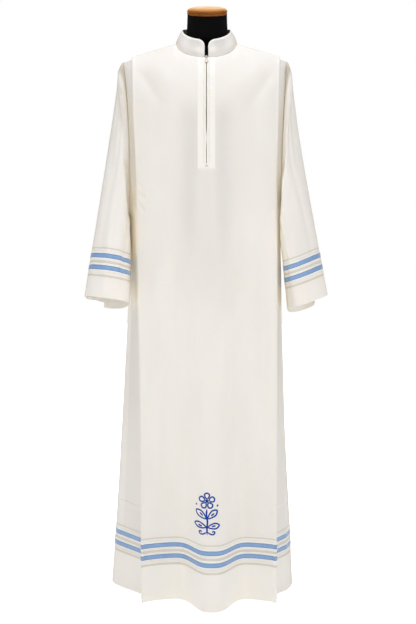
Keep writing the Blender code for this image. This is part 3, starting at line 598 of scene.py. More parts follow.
def hanging_points(side, panel, z):
    """One half of a section between chest and hem: sheet, outer fold, inner fold, side."""
    t = fall(z)
    fold = read(SIDES[side], "fold", z)
    deep, inner_deep = (sheet_depth(panel, side * x, z, fold) for x in (fold, fold - PLEAT_DEEP))
    sheet = [low + (fold - FOLD_REST) * (low / FOLD_REST) ** 3 for _, low in upright[panel]]
    lines = [(x, sheet_depth(panel, side * x, z, fold)) for x in sheet]
    lines += pleat_lines(
        fold, deep, blend(LAYER / 2, FOLD_R_HEM, t), inner_deep - blend(1.5 * LAYER, INNER_GAP_HEM, t),
        blend(LAYER / 2, INNER_R_HEM, t), deep - blend(2 * LAYER, UNDER_GAP_HEM, t),
    )  # fmt: skip
    points = [Vector((side * x, panel.facing * y, z)) for x, y in lines]
    return points + side_points(side, panel, z, points[-1])


def side_points(side, panel, z, start):
    """The under layer from behind the fold to the armhole or the side seam."""
    if z > UNDERARM_Z:
        end = armhole(side, panel, z)
    else:
        forward = SEAM_FORWARD[side] * (UNDERARM_Z - z) / (UNDERARM_Z - HEM_Z)
        end = Vector((side * read(SIDES[side], "seam", z), -forward, z))
    control = (start + end) / 2
    if panel is BACK:
        wide = side * read(SIDES[side], "widest", z)
        bow = (wide - start.x * (1 - BOW_AT) ** 2 - end.x * BOW_AT**2) / (2 * BOW_AT * (1 - BOW_AT))
        share = min(1.0, max(0.0, (UNDERARM_Z - z) / BOW_HEIGHT))
        control = control.lerp(Vector((bow, BOW_DEPTH * start.y, z)), share)
    points = [start * (1 - s) ** 2 + control * 2 * s * (1 - s) + end * s * s for s in panel.side_steps]
    if z <= UNDERARM_Z:
        points[-1] += (points[-2] - points[-1]).normalized() * SEAM_GAP / 2
    return points


def shoulder_points(side, panel, step):
    """One half of a section over the shoulder: each upright line bends from the seam down to the chest."""
    fold, tip = SIDES[side][-1].fold, SIDES[side][-1].seam
    r = LAYER / 2
    tops = [(top, 0.0) for top, _ in upright[panel]] + pleat_lines(fold, 0.0, r, -LAYER - r, r, -2 * LAYER)
    tops += [(blend(fold, tip, s), -2 * LAYER) for s in panel.side_steps]
    points = []
    for (x, level), end in zip(tops, chest_row[side, panel]):
        slope = SIDE_SLOPE
        if x < NECK_HALF:
            turn = math.asin(x / NECK_HALF)
            start = neckline(turn if panel is FRONT else math.pi - turn)
            slope = blend(SIDE_SLOPE, panel.neck_slope, math.cos(turn))
        else:
            start = Vector((x, panel.facing * SEAM_GAP / 2, shoulder_z(x) + level))
        start.x *= side
        reach = BEND * abs(end.y - start.y)
        lean = Vector((0, panel.facing * reach, -reach * math.tan(slope)))
        rise = Vector((0, 0, BEND * (start.z - end.z)))
        s = 1 - step
        bend = start * s**3 + (start + lean) * 3 * s * s * step + (end + rise) * 3 * s * step * step
        points.append(bend + end * step**3)
    if step < 1:
        middle, half = armhole_heights(side)
        turn = step * math.acos((CHEST_Z - middle) / half)
        points[-1] = armhole(side, panel, middle + half * math.cos(turn))
        points[-1].y += panel.facing * SEAM_GAP / 2 * (1 - step)
    return points


chest_row = {(side, panel): hanging_points(side, panel, CHEST_Z) for side in (-1, 1) for panel in (FRONT, BACK)}


def panel_grid(panel):
    """All rows of a panel from the shoulder seam to the hem, its columns running to +X as seen from outside."""
    halves = {}
    steps = [1] * (len(upright[panel]) - 1) + list(PLEAT_STEPS + panel.under_steps)
    for side in (-1, 1):
        rows = [shoulder_points(side, panel, i / OVER_SHOULDER) for i in range(OVER_SHOULDER + 1)]
        rows += [hanging_points(side, panel, z) for z in ROW_Z]
        halves[side] = smooth_through([[list(p) for p in row] for row in rows], steps)
    if panel is FRONT:
        return np.concatenate((halves[-1][:, ::-1], halves[1]), axis=1)
    return np.concatenate((halves[1][:, ::-1], halves[-1][:, 1:]), axis=1)


def unit(vectors):
    return vectors / np.maximum(np.linalg.norm(vectors, axis=-1, keepdims=True), 1e-12)


def outward(grid, wrap=False):
    """Directions that face out when rows run down and columns run to +X as seen from outside."""
    across = np.roll(grid, -1, 1) - np.roll(grid, 1, 1) if wrap else np.gradient(grid, axis=1)
    return unit(np.cross(np.gradient(grid, axis=0), across))


def faded(value, start, end):
    """0 before the start and 1 past the end, with a soft passage between them."""
    t = np.clip((value - start) / (end - start), 0.0, 1.0)
    return t * t * (3 - 2 * t)


def bell(value, half_width):
    """1 at 0, falling off softly on both sides."""
    return np.exp(-((value / half_width) ** 2))


# Creases, as soft ridges (out above 0) and troughs (below 0). Each runs from a top to a low place on the
# panel as seen from outside, bows sideways by its bend, and tapers off at both ends.
Crease = namedtuple("Crease", "x_top z_top x_low z_low out half_width bend")
FRONT_CREASES = (
    # soft bands from the shoulder tips in towards the chest
    Crease(-0.186, 1.450, -0.100, 1.318, -0.0050, 0.015, 0.003),
    Crease(-0.118, 1.362, -0.140, 1.225, -0.0036, 0.014, 0.010),
    Crease(-0.150, 1.470, -0.070, 1.370, 0.0034, 0.020, 0.004),
    Crease(0.184, 1.445, 0.096, 1.320, -0.0050, 0.014, -0.003),
    Crease(0.112, 1.365, 0.128, 1.235, -0.0034, 0.014, -0.008),
    Crease(0.145, 1.470, 0.072, 1.372, 0.0034, 0.020, -0.004),
    # short pulls below the collar's base
    Crease(-0.064, 1.480, -0.070, 1.452, -0.0016, 0.0045, 0.0),
    Crease(0.063, 1.488, 0.068, 1.458, -0.0018, 0.0045, 0.0),
    Crease(-0.045, 1.474, -0.055, 1.430, 0.0010, 0.007, 0.002),
    Crease(0.044, 1.474, 0.052, 1.436, 0.0010, 0.007, -0.002),
    # hollows beside the zip facing, and the ridge from its lower right corner
    Crease(-0.040, 1.350, -0.043, 1.120, -0.0035, 0.014, -0.003),
    Crease(0.042, 1.345, 0.050, 1.130, -0.0035, 0.016, 0.004),
    Crease(0.022, 1.188, 0.037, 1.060, 0.0016, 0.007, 0.003),
    Crease(-0.020, 1.190, -0.030, 1.080, 0.0010, 0.009, -0.003),
    # puckers in from the pleats' folds
    Crease(-0.182, 1.140, -0.163, 1.118, -0.0026, 0.0042, 0.001),
    Crease(-0.183, 1.112, -0.160, 1.098, -0.0022, 0.0040, -0.001),
    Crease(-0.180, 1.086, -0.160, 1.064, -0.0028, 0.0045, 0.002),
    Crease(0.184, 1.160, 0.165, 1.142, -0.0026, 0.0042, 0.001),
    Crease(0.183, 1.134, 0.168, 1.124, -0.0020, 0.0038, 0.0),
    Crease(0.183, 1.080, 0.162, 1.058, -0.0028, 0.0045, -0.002),
    Crease(0.182, 1.040, 0.166, 1.026, -0.0012, 0.0040, 0.0),
    # long soft rolls down the skirt
    Crease(-0.105, 1.150, -0.112, 0.520, 0.0030, 0.026, 0.006),
    Crease(-0.150, 1.020, -0.148, 0.350, -0.0028, 0.016, 0.004),
    Crease(0.110, 1.120, 0.122, 0.460, 0.0030, 0.026, -0.005),
    Crease(0.155, 0.980, 0.152, 0.300, -0.0026, 0.016, -0.003),
    Crease(-0.056, 1.160, -0.108, 0.380, -0.0044, 0.018, 0.006),
    Crease(0.054, 1.160, 0.076, 0.300, -0.0046, 0.019, -0.004),
    Crease(-0.022, 1.130, -0.024, 0.560, 0.0022, 0.015, 0.002),
    Crease(-0.128, 0.600, -0.120, 0.180, 0.0022, 0.020, 0.003),
    Crease(0.120, 0.520, 0.130, 0.150, 0.0020, 0.020, -0.004),
    # the tuck that lets the length out, level above the ribbons on the right
    Crease(0.075, 0.2745, 0.186, 0.2730, -0.0010, 0.0030, 0.0008),
    Crease(0.172, 0.2700, 0.184, 0.2560, 0.0014, 0.0035, 0.0),
)
BACK_CREASES = (
    Crease(-0.184, 1.470, -0.095, 1.340, -0.0045, 0.018, -0.006),
    Crease(0.186, 1.470, 0.110, 1.325, -0.0045, 0.020, 0.006),
    Crease(-0.055, 1.505, -0.060, 1.462, -0.0015, 0.0050, 0.0),
    Crease(0.058, 1.505, 0.062, 1.468, -0.0016, 0.0050, 0.0),
    Crease(-0.070, 1.478, 0.068, 1.474, 0.0020, 0.011, -0.006),
    Crease(-0.100, 1.420, 0.095, 1.412, -0.0022, 0.017, -0.010),
    Crease(0.020, 1.350, 0.034, 0.840, 0.0030, 0.022, 0.005),
    Crease(-0.036, 1.280, -0.030, 0.760, -0.0030, 0.018, -0.004),
    Crease(-0.112, 1.180, -0.118, 0.500, 0.0028, 0.025, 0.005),
    Crease(0.122, 1.120, 0.120, 0.430, 0.0030, 0.025, -0.004),
    Crease(0.160, 1.000, 0.156, 0.330, -0.0026, 0.015, 0.003),
    Crease(-0.158, 1.030, -0.150, 0.380, -0.0028, 0.016, -0.003),
    Crease(0.010, 0.720, -0.004, 0.180, -0.0030, 0.020, 0.004),
    Crease(-0.183, 1.128, -0.162, 1.108, -0.0016, 0.0042, 0.001),
    Crease(-0.184, 1.076, -0.166, 1.062, -0.0013, 0.0040, 0.0),
    Crease(0.183, 1.150, 0.160, 1.126, -0.0016, 0.0045, 0.001),
    Crease(0.183, 1.098, 0.165, 1.082, -0.0013, 0.0040, 0.0),
)
ARMHOLE_SUNK = 0.0045  # how far the armhole's seam lies sunk between the body and the sleeve
DRAPE_SCALES = ((7.0, 0.0010), (19.0, 0.0004))  # how close together and how high the cloth's slight unevenness is
DRAPE_LONG = 0.35  # it is longer down than across
DRAPE_CALM = 0.35  # and calmer above the chest
FOLD_KEPT = 0.016  # the creases end this far from the pleat's fold


def crease_height(x, z, creases):
    """How far the creases lift the cloth at each place."""
    height = np.zeros_like(x)
    for crease in creases:
        run = np.array((crease.x_low - crease.x_top, crease.z_low - crease.z_top))
        length = np.hypot(*run)
        run /= length
        along = ((x - crease.x_top) * run[0] + (z - crease.z_top) * run[1]) / length
        aside = (x - crease.x_top) * run[1] - (z - crease.z_top) * run[0] - 4 * crease.bend * along * (1 - along)
        taper = faded(along, 0.0, 0.3) * (1 - faded(along, 0.7, 1.0))
        height += crease.out * bell(aside, crease.half_width) * taper
    return height


def unevenness(points, seed):
    """Slight waves of hanging cloth."""
    height = np.zeros(points.shape[:-1])
    for scale, out in DRAPE_SCALES:
        places = points * (scale, scale, scale * DRAPE_LONG) + seed
        flat = [noise.noise(Vector(p)) for p in places.reshape(-1, 3)]
        height += out * np.array(flat).reshape(height.shape)
    return height


Cloth = namedtuple("Cloth", "grid out levels wrap")  # levels: each row's height, or its distance from the cuff


def from_middle(grid):
    """How many columns each column lies from the middle."""
    return abs(np.arange(grid.shape[1]) - (grid.shape[1] - 1) / 2)


ARMHOLE_SHADE = 0.85
# How many columns wide the shade beside the armhole is, up at the shoulder and down under the arm
SHADE_COLUMNS = {-1: (1.0, 4.0), 1: (3.2, 4.5)}
SUNK_COLUMNS = 0.9


def armhole_valley(grid, wide=SUNK_COLUMNS):
    """1 along the armhole's seam, where the cloth turns in between the body and the sleeve, and 0 elsewhere."""
    from_edge = (grid.shape[1] - 1) / 2 - from_middle(grid)
    z = grid[..., 2]
    along_seam = faded(z, UNDERARM_Z + 0.02, UNDERARM_Z + 0.07) * (1 - faded(z, 1.425, 1.460))
    return bell(from_edge, wide) * along_seam


def armhole_shade(grid):
    """How dark the deep shade beside the armhole's seam is. It widens downwards."""
    widening = faded(-grid[..., 2], -1.36, -1.20)
    left, right = (blend(*SHADE_COLUMNS[side], widening) for side in (-1, 1))
    return ARMHOLE_SHADE * armhole_valley(grid, np.where(grid[..., 0] > 0, right, left))


def shaped_panel(panel, creases, seed):
    """A panel's middle surface with its creases, left as it is along the seams, the pleat's folds and the hem."""
    grid = panel_grid(panel)
    out = outward(grid)
    sheet = len(upright[panel]) - 1 + PLEAT_STEPS[0]
    behind = sheet + sum(PLEAT_STEPS[1:])
    place = from_middle(grid).astype(int)
    column = np.arange(len(place)) - (len(place) - 1) / 2
    fold_x = np.empty(grid.shape[:2])
    for half in (column < 0, column > 0):
        # the pleat's layers lie pressed together, so all of them move with the sheet in front of them
        flat, fold = (np.flatnonzero(half & (place == at))[0] for at in (sheet - 1, sheet + PLEAT_STEPS[1]))
        fold_x[:, half] = abs(grid[:, fold, None, 0])
        out[:, half & (place >= sheet) & (place < behind)] = out[:, flat, None]
    fold_x[:, place == 0] = abs(grid[..., 0]).max()
    from_edge = np.minimum(place.max() - place, 6) / 6
    x, z = grid[..., 0] * -panel.facing, grid[..., 2]
    on_sheet = np.where(place > behind - 1, 0.0, 1 - faded(abs(x), fold_x - FOLD_KEPT, fold_x))
    height = crease_height(x, z, creases) * on_sheet - ARMHOLE_SUNK * armhole_valley(grid)
    lively = blend(DRAPE_CALM, 1.0, faded(-z, -1.35, -1.05))
    height += unevenness(grid, seed) * np.maximum(on_sheet, 0.6 * from_edge) * lively
    if panel is FRONT:
        beside = 1 - faded(abs(x), FACING_HALF - FACING_SOFT, FACING_HALF + FACING_SOFT)
        above = faded(z, FACING_END_Z - FACING_SOFT, FACING_END_Z + FACING_SOFT)
        height += FACING_RISE * beside * above + zip_puckers(x, z)
    grid = grid + out * (height * faded(np.arange(len(grid)), 0, 4)[:, None])[..., None]
    if panel is FRONT:
        close_slit(grid)
    levels = np.array([2.0 - i for i in range(OVER_SHOULDER)] + [CHEST_Z, *ROW_Z])
    return Cloth(grid, outward(grid), levels, False)


# The facing behind the zip lifts the cloth a little, the slit's turned edges stand proud and close unevenly
# over the teeth, and the zip's two rows of stitches gather the cloth
FACING_RISE = 0.0007
FACING_SOFT = 0.0015
LIP_RISE = 0.0009
LIP_X = 0.0034
LIP_HALF_WIDTH = 0.0019
Lip = namedtuple("Lip", "z gap")  # how wide the slit stands open at each height
SLIT_OPEN = (
    Lip(1.190, 0.0006), Lip(1.205, 0.0019), Lip(1.236, 0.0017), Lip(1.250, 0.0008), Lip(1.264, 0.0007),
    Lip(1.283, 0.0027), Lip(1.300, 0.0030), Lip(1.335, 0.0030), Lip(1.360, 0.0025), Lip(1.400, 0.0024),
    Lip(1.470, 0.0030),
)  # fmt: skip
ZIP_STITCH_X = 0.0070
STITCH_SUNK = 0.0006
STITCH_HALF_WIDTH = 0.0013
Pucker = namedtuple("Pucker", "side z out half_width half_height")
ZIP_PUCKERS = tuple(
    Pucker(
        side,
        1.425 - 0.0122 * i - 0.004 * math.sin(2.3 * i + side),
        0.0013 + 0.0008 * math.sin(1.7 * i + 2 * side),
        0.0045 + 0.0012 * math.sin(3.1 * i),
        0.0030 + 0.0010 * math.sin(2.1 * i + side),
    )
    for side in (-1, 1)
    for i in range(19)
)


def zip_puckers(x, z):
    height = np.zeros_like(x)
    for pucker in ZIP_PUCKERS:
        across = bell(x - pucker.side * ZIP_STITCH_X, pucker.half_width)
        height += pucker.out * across * bell(z - pucker.z, pucker.half_height)
    lips = LIP_RISE * bell(abs(x) - LIP_X, LIP_HALF_WIDTH)
    sunk = STITCH_SUNK * bell(abs(x) - ZIP_STITCH_X, STITCH_HALF_WIDTH)
    return height + (lips - sunk) * faded(z, ZIP_END_Z - 0.006, ZIP_END_Z)


def close_slit(grid):
    """Moves the cloth beside the slit in until the slit is as wide as it stands open."""
    for row in grid[:SLIT_ROWS]:
        gap = read(SLIT_OPEN, "gap", row[len(row) // 2, 2])
        near = 1 - faded(abs(row[:, 0]), SLIT / 2, ZIP_STITCH_X)
        row[:, 0] -= np.sign(row[:, 0]) * (SLIT - gap) / 2 * near


def join_edges(front, back):
    """Both panels' edges are cut square to one shared direction along the shoulder and side seams."""
    for cloth in (front, back):
        seam = abs(cloth.grid[0, :, 0]) >= NECK_HALF
        cloth.out[0, seam, 1] = 0.0
        cloth.out[0] = unit(cloth.out[0])
    for a, b in ((0, -1), (-1, 0)):
        shared = unit(front.out[UNDERARM_ROW:, a] + back.out[UNDERARM_ROW:, b])
        front.out[UNDERARM_ROW:, a] = back.out[UNDERARM_ROW:, b] = shared


def closed(cloth):
    """A cloth's points, with the first column again at the end of one that goes all the way round."""
    return np.concatenate((cloth.grid, cloth.grid[:, :1]), axis=1) if cloth.wrap else cloth.grid


def steps_along(grid, axis):
    return np.linalg.norm(np.diff(grid, axis=axis), axis=-1)


def grain_map(cloth):
    """Metres along each row from the middle column, and down each column."""
    grid = closed(cloth)
    across = np.pad(np.cumsum(steps_along(grid, 1), axis=1), ((0, 0), (1, 0)))
    across -= across[:, across.shape[1] // 2, None]
    down = np.pad(np.cumsum(steps_along(grid, 0), axis=0), ((1, 0), (0, 0)))
    return np.stack((across, -down), -1)


def cloth_piece(name, cloth, thick, material, open_cells=(), **layers):
    """A closed wall round a cloth's middle surface. Open cells are left out, as for a slit. A layer gives the
    material a number for each point."""
    rows, cols = cloth.grid.shape[:2]
    half = np.broadcast_to(np.asarray(thick, float) / 2, (rows, cols))[..., None] * cloth.out
    points = np.concatenate(((cloth.grid + half).reshape(-1, 3), (cloth.grid - half).reshape(-1, 3)))
    wide = cols + cloth.wrap
    filled = np.ones((rows - 1, wide - 1), bool)
    for cell in open_cells:
        filled[cell] = False
    a = (np.arange(rows - 1)[:, None] * wide + np.arange(wide - 1)[None]).astype(int)
    b, d = a + wide, a + 1
    e = b + 1
    around = np.pad(filled, 1)
    if cloth.wrap:
        around[:, 0], around[:, -1] = around[:, -2], around[:, 1]
    corners = [np.stack((a, b, e, d), -1)[filled], np.stack((a, d, e, b), -1)[filled]]
    layer = [np.zeros_like(corners[0]), np.ones_like(corners[1])]
    edges = (
        (a, b, around[1:-1, :-2]), (b, e, around[2:, 1:-1]), (e, d, around[1:-1, 2:]), (d, a, around[:-2, 1:-1])
    )  # fmt: skip
    for p, q, beyond in edges:
        rim = np.stack((q, p, p, q), -1)[filled & ~beyond]
        corners.append(rim)
        layer.append(np.broadcast_to((0, 0, 1, 1), rim.shape))
    corners, layer = np.concatenate(corners), np.concatenate(layer)
    faces = layer * rows * cols + corners // wide * cols + corners % wide % cols
    grain = grain_map(cloth).reshape(-1, 2)[corners]
    used = np.zeros(len(points), bool)
    used[faces] = True
    faces = (np.cumsum(used) - 1)[faces]
    thing = mesh_piece(name, points[used], faces, grain, material, 50.0)
    for word, values in layers.items():
        values = np.tile(np.broadcast_to(values, (rows, cols)).reshape(-1), 2)[used]
        layer = thing.data.attributes.new(word, "FLOAT", "POINT")
        layer.data.foreach_set("value", values.astype(np.float32))
    return thing


THREAD_PITCH = 0.0007
PAINTED_GLOW_COLOUR = (0.130, 0.121, 0.104)  # painted light: the glow that the cloth gives off in deep folds, standing in for light that comes through thin cloth
# painted shade: a warm tint where the cloth lies deep in a fold
FOLD_SHADE = (0.960, 0.890, 0.760)
# painted shade: a darker, warmer tint where the cloth is seen edge-on
EDGE_SHADE = (0.640, 0.580, 0.460)
# painted shade: a dark olive tint beside the armhole's seam
VALLEY_SHADE = (0.360, 0.295, 0.190)


def woven(name, color, shade, roughness):
    """Cloth with a fine twill, slight slubs and a soft sheen. It is whiter where it is doubled, and a little
    darker where what lies behind it shows through. Its colour also holds painted light and shade: highlights
    on folds and rims, shade in pleats, folds and armhole valleys and at edges seen side-on, and a glow in deep folds."""
    material = principled(
        name, color, roughness, Sheen_Weight=0.05, Sheen_Roughness=0.5, Specular_IOR_Level=0.2,
        Subsurface_Weight=0.30, Subsurface_Radius=(1.0, 0.80, 0.55), Subsurface_Scale=0.0012,
        Emission_Color=(*PAINTED_GLOW_COLOUR, 1.0),
    )  # fmt: skip
    doubled, seen_through, in_valley, lit_through = (
        node(material, "Attribute", "Fac", attribute_name=word)
        for word in ("doubled", "seen_through", "in_valley", "lit_through")
    )
    twill = ribbed(material, grain_of(material, degrees=27.0), THREAD_PITCH, 0.3, 1.5)
    slubs = cloudy(material, grain_of(material, (260.0, 2600.0, 1.0)))
    bump(material, worked(material, "ADD", twill, slubs), 0.00012, 0.35)
    mottle = cloudy(material, grain_of(material, (9.0, 5.0, 1.0)), 1.0, 2.0)
    colour = colour_ramp(material, mottle, (0.3, shade), (0.7, color))
    # darker where the form shows through, and where painted shade is set in the pleats, upper sleeves and collar
    darker, whiter = (tuple(min(1.0, part * times) for part in color) for times in (0.78, 1.065))
    # whiter where the cloth is doubled, and where a painted highlight is set on the pleats' folds and the collar's rim
    colour = mixed(material, doubled, mixed(material, seen_through, colour, darker), whiter)
    # painted shade: where little of the room is open to the cloth, its colour turns to the warm fold tint
    daylight = node(material, "AmbientOcclusion", "AO", {"Distance": 0.06}, samples=4)
    fold_shade_share = ranged(material, daylight, 0.85, 0.20)
    # painted shade: darker and warmer towards edges seen side-on
    edge_on = ranged(material, node(material, "LayerWeight", "Facing"), 0.70, 0.98, 0.0, 0.8)
    for share, tint in ((fold_shade_share, FOLD_SHADE), (edge_on, EDGE_SHADE), (in_valley, VALLEY_SHADE)):
        colour = mixed(material, share, colour, tint)
    feed(material, "Base Color", colour)
    # painted light: the cloth glows where the painted glow is set, the more the deeper the fold
    feed(material, "Emission Strength", worked(material, "MULTIPLY", lit_through, fold_shade_share))
    return material


cream_cloth = woven("cream_cloth", (0.866, 0.832, 0.776), (0.842, 0.804, 0.744), 0.88)
HEM_DOUBLED = 0.098
HEM_WHITER = 0.6
DOUBLED_SOFT = 0.001


def doubled_and_highlit_zone(cloth):
    """1 where the cloth is doubled, at the hem and over the zip's facing, and along the pleat's fold as a painted
    highlight, and 0 elsewhere.
    """
    z = cloth.grid[..., 2]
    hem = HEM_WHITER * (1 - faded(z, HEM_Z + HEM_DOUBLED - DOUBLED_SOFT, HEM_Z + HEM_DOUBLED + DOUBLED_SOFT))
    fold = len(upright[FRONT if cloth is front else BACK]) + PLEAT_STEPS[0] - 1
    # painted highlight along the pleat's fold
    fold_highlight = bell(from_middle(cloth.grid) - fold, 1.2) * faded(z, 1.15, 1.36)
    zone = np.maximum(hem, fold_highlight)
    if cloth is front:
        facing = 1 - faded(abs(cloth.grid[..., 0]), FACING_HALF - 0.002, FACING_HALF - 0.0004)
        zone = np.maximum(zone, facing * faded(z, FACING_END_Z - DOUBLED_SOFT, FACING_END_Z + DOUBLED_SOFT))
    return zone


def under_layers(cloth):
    """1 on the cloth behind the pleat, back to the side seam, and 0 elsewhere."""
    return from_middle(cloth.grid) > len(upright[FRONT]) + sum(PLEAT_STEPS[:3]) - 1


CHEST_SHOWN = 0.52
BELLY_SHOWN = 0.30
PLEAT_SHADE = (0.26, 0.92)  # painted shade inside the pleat, low down and at the chest
GLOW_CUT_BY_SLEEVE = 0.85  # how much of the painted glow is taken off against the sleeve


def form_behind_and_pleat_shade(cloth):
    """How much darker the single cloth is where the black form lies behind it, and painted shade on the pleat's under
    layer for the shade inside the pleat.
    """
    x, z = cloth.grid[..., 0], cloth.grid[..., 2]
    chest = bell(abs(x) - 0.042, 0.030) * faded(-z, -1.385, -1.30) * (1 - faded(-z, -1.10, -0.80))
    belly = bell(x, 0.085) * faded(-z, -1.25, -1.12) * (1 - faded(-z, -0.95, -0.70))
    shown = np.maximum(CHEST_SHOWN * chest, BELLY_SHOWN * belly) * (from_middle(cloth.grid) < len(upright[FRONT]))
    shaded = blend(*PLEAT_SHADE, faded(z, 0.40, 1.15)) * under_layers(cloth)
    return np.maximum(shown, shaded) * (1 - doubled_and_highlit_zone(cloth))


def painted_glow_zone(cloth):
    """Where the cloth gets a painted glow: 1 on the layers between the body and the sleeve, just under the armhole,
    and less against the sleeve.
    """
    x, z = cloth.grid[..., 0], cloth.grid[..., 2]
    against_sleeve = GLOW_CUT_BY_SLEEVE * faded(abs(x), 0.193, 0.204)
    return under_layers(cloth) * faded(z, 0.80, 0.90) * (1 - faded(z, 1.055, 1.090)) * (1 - against_sleeve)


front = shaped_panel(FRONT, FRONT_CREASES, 3.1)
back = shaped_panel(BACK, BACK_CREASES, 7.7)
join_edges(front, back)
middle_column = len(front.grid[0]) // 2 - 1
slit_cells = [(row, middle_column) for row in range(SLIT_ROWS)]
front_piece = cloth_piece(
    "front_panel",
    front,
    CLOTH,
    cream_cloth,
    slit_cells,
    doubled=doubled_and_highlit_zone(front),
    seen_through=form_behind_and_pleat_shade(front),
    in_valley=armhole_shade(front.grid),
    lit_through=painted_glow_zone(front),
)
back_piece = cloth_piece(
    "back_panel", back, CLOTH, cream_cloth, doubled=doubled_and_highlit_zone(back), in_valley=armhole_shade(back.grid)
)
for piece, cloth, solid in ((front_piece, front, "robe_front"), (back_piece, back, "robe_back")):
    place_on(piece, "cream_cloth", solid)


# ---- Sleeves ----
# Two set-in sleeves of the same twill, each one piece closed along the underarm, eased into the armhole at
# the shoulder's tip and hemmed at the cuff. They hang a little forwards from the form.

# Four lines from the armhole to the cuff. Along is the share of the way down.
Sleeve = namedtuple(
    "Sleeve", "along top_x top_y top_z under_x under_y under_z front_x front_y front_z back_x back_y back_z"
)
SLEEVE_LINES = {
    -1: (
        Sleeve(0.05, 0.2320, -0.001, 1.4360, 0.2150, -0.001, 1.0430, 0.2165, -0.064, 1.2500, 0.2240, 0.064, 1.2500),
        Sleeve(0.30, 0.2570, -0.010, 1.2750, 0.2050, -0.044, 0.9830, 0.2230, -0.095, 1.1330, 0.2330, 0.056, 1.1200),
        Sleeve(0.60, 0.2860, -0.038, 1.0850, 0.2035, -0.062, 0.9150, 0.2430, -0.125, 1.0100, 0.2490, 0.022, 0.9850),
        Sleeve(1.00, 0.3266, -0.080, 0.8380, 0.2040, -0.100, 0.8240, 0.2620, -0.165, 0.8450, 0.2680, -0.028, 0.7990),
    ),
    1: (
        Sleeve(0.05, 0.2260, 0.000, 1.4250, 0.2090, 0.000, 1.0430, 0.2120, -0.062, 1.2450, 0.2180, 0.066, 1.2450),
        Sleeve(0.30, 0.2475, 0.000, 1.2720, 0.2035, -0.038, 0.9800, 0.2060, -0.088, 1.1300, 0.2280, 0.066, 1.1200),
        Sleeve(0.60, 0.2810, -0.006, 1.0860, 0.2085, -0.045, 0.9050, 0.2380, -0.098, 1.0000, 0.2500, 0.058, 0.9800),
        Sleeve(1.00, 0.3285, -0.025, 0.8365, 0.2195, -0.045, 0.8010, 0.2740, -0.090, 0.8230, 0.2720, 0.045, 0.7850),
    ),
}
LINE_STEPS = 60
SLEEVE_ROWS = 84
ROW_BUNCHING = 1.3
CUFF_BAND = 0.140  # the rows this close to the cuff's edge run level with it
CUFF_ROWS = 30
ARMHOLE_EASE = 0.0010
CAP_SOFTENING = 6

# Creases of a sleeve: the turn round it (0 on top, 90 in front, 180 under the arm), the share of the way
# down where it starts and ends, how far out, its half width in metres, and how many degrees it winds
Fold = namedtuple("Fold", "turn start end out half_width wind")
SLEEVE_FOLDS = {
    -1: (
        Fold(64, 0.10, 0.98, -0.0040, 0.013, -14),
        Fold(100, 0.22, 0.92, 0.0032, 0.014, 10),
        Fold(138, 0.30, 0.96, -0.0042, 0.012, -8),
        Fold(30, 0.05, 0.55, -0.0026, 0.012, 18),
        Fold(120, 0.02, 0.30, -0.0030, 0.010, -30),
        Fold(160, 0.10, 0.52, 0.0024, 0.009, -18),
        Fold(330, 0.12, 0.90, -0.0036, 0.014, 10),
        Fold(285, 0.30, 0.97, 0.0032, 0.014, -12),
        Fold(245, 0.05, 0.70, -0.0040, 0.012, 20),
        Fold(215, 0.40, 0.95, 0.0026, 0.010, 8),
        Fold(78, 0.52, 1.02, 0.0022, 0.010, 4),
    ),
    1: (
        Fold(58, 0.12, 0.98, -0.0038, 0.013, -10),
        Fold(96, 0.18, 0.90, 0.0030, 0.015, 8),
        Fold(132, 0.35, 1.02, -0.0046, 0.010, 14),
        Fold(24, 0.06, 0.50, -0.0024, 0.012, 16),
        Fold(116, 0.02, 0.32, -0.0032, 0.010, -26),
        Fold(150, 0.06, 0.48, 0.0026, 0.009, -14),
        Fold(325, 0.10, 0.86, -0.0034, 0.014, 12),
        Fold(280, 0.28, 0.96, 0.0034, 0.014, -8),
        Fold(240, 0.06, 0.72, -0.0042, 0.012, 18),
        Fold(205, 0.45, 0.98, 0.0024, 0.010, 6),
    ),
}
OVER_SEAM = {-1: 0.0100, 1: 0.0075}  # how far the sleeve's fullness falls forward over the armhole seam

# The cuff's back edge steps up on its outer half, where the hem was turned a little deeper
Step = namedtuple("Step", "x rise fade_from fade_to")
CUFF_STEPS = {-1: Step(0.2788, 0.0135, 0.300, 0.335), 1: Step(0.3000, 0.0110, 0.320, 0.336)}
STEP_REACH = 0.055
STEP_SOFT = 0.002
CUFF_DOUBLED = 0.055
CUFF_WHITER = 0.2
SHADE_BEYOND = {-1: 0.22, 1: 0.12}  # the shade that reaches on past the armhole's seam
SLEEVE_SHADE = {-1: 0.15, 1: 0.02}  # how much painted shade darkens the upper sleeve, as the shade inside the sleeve would


def armhole_ring(side):
    """The panels' edge from the shoulder's tip down the front, under the arm and up the back."""
    first, last = {-1: (0, -1), 1: (-1, 0)}[side]
    down = front.grid[: UNDERARM_ROW + 1, first].copy()
    up = back.grid[1:UNDERARM_ROW, last][::-1]
    down[0, 1] = down[-1, 1] = 0.0
    return np.concatenate((down, up))


def ring_turns(ring):
    """The angle of each armhole point about the armhole's middle, 0 at the tip and 180 degrees under the arm."""
    top, low = ring[0, 2], ring[:, 2].min()
    turn = np.arccos(np.clip((2 * ring[:, 2] - top - low) / (top - low), -1, 1))
    return np.where(ring[:, 1] <= 0, turn, 2 * math.pi - turn)


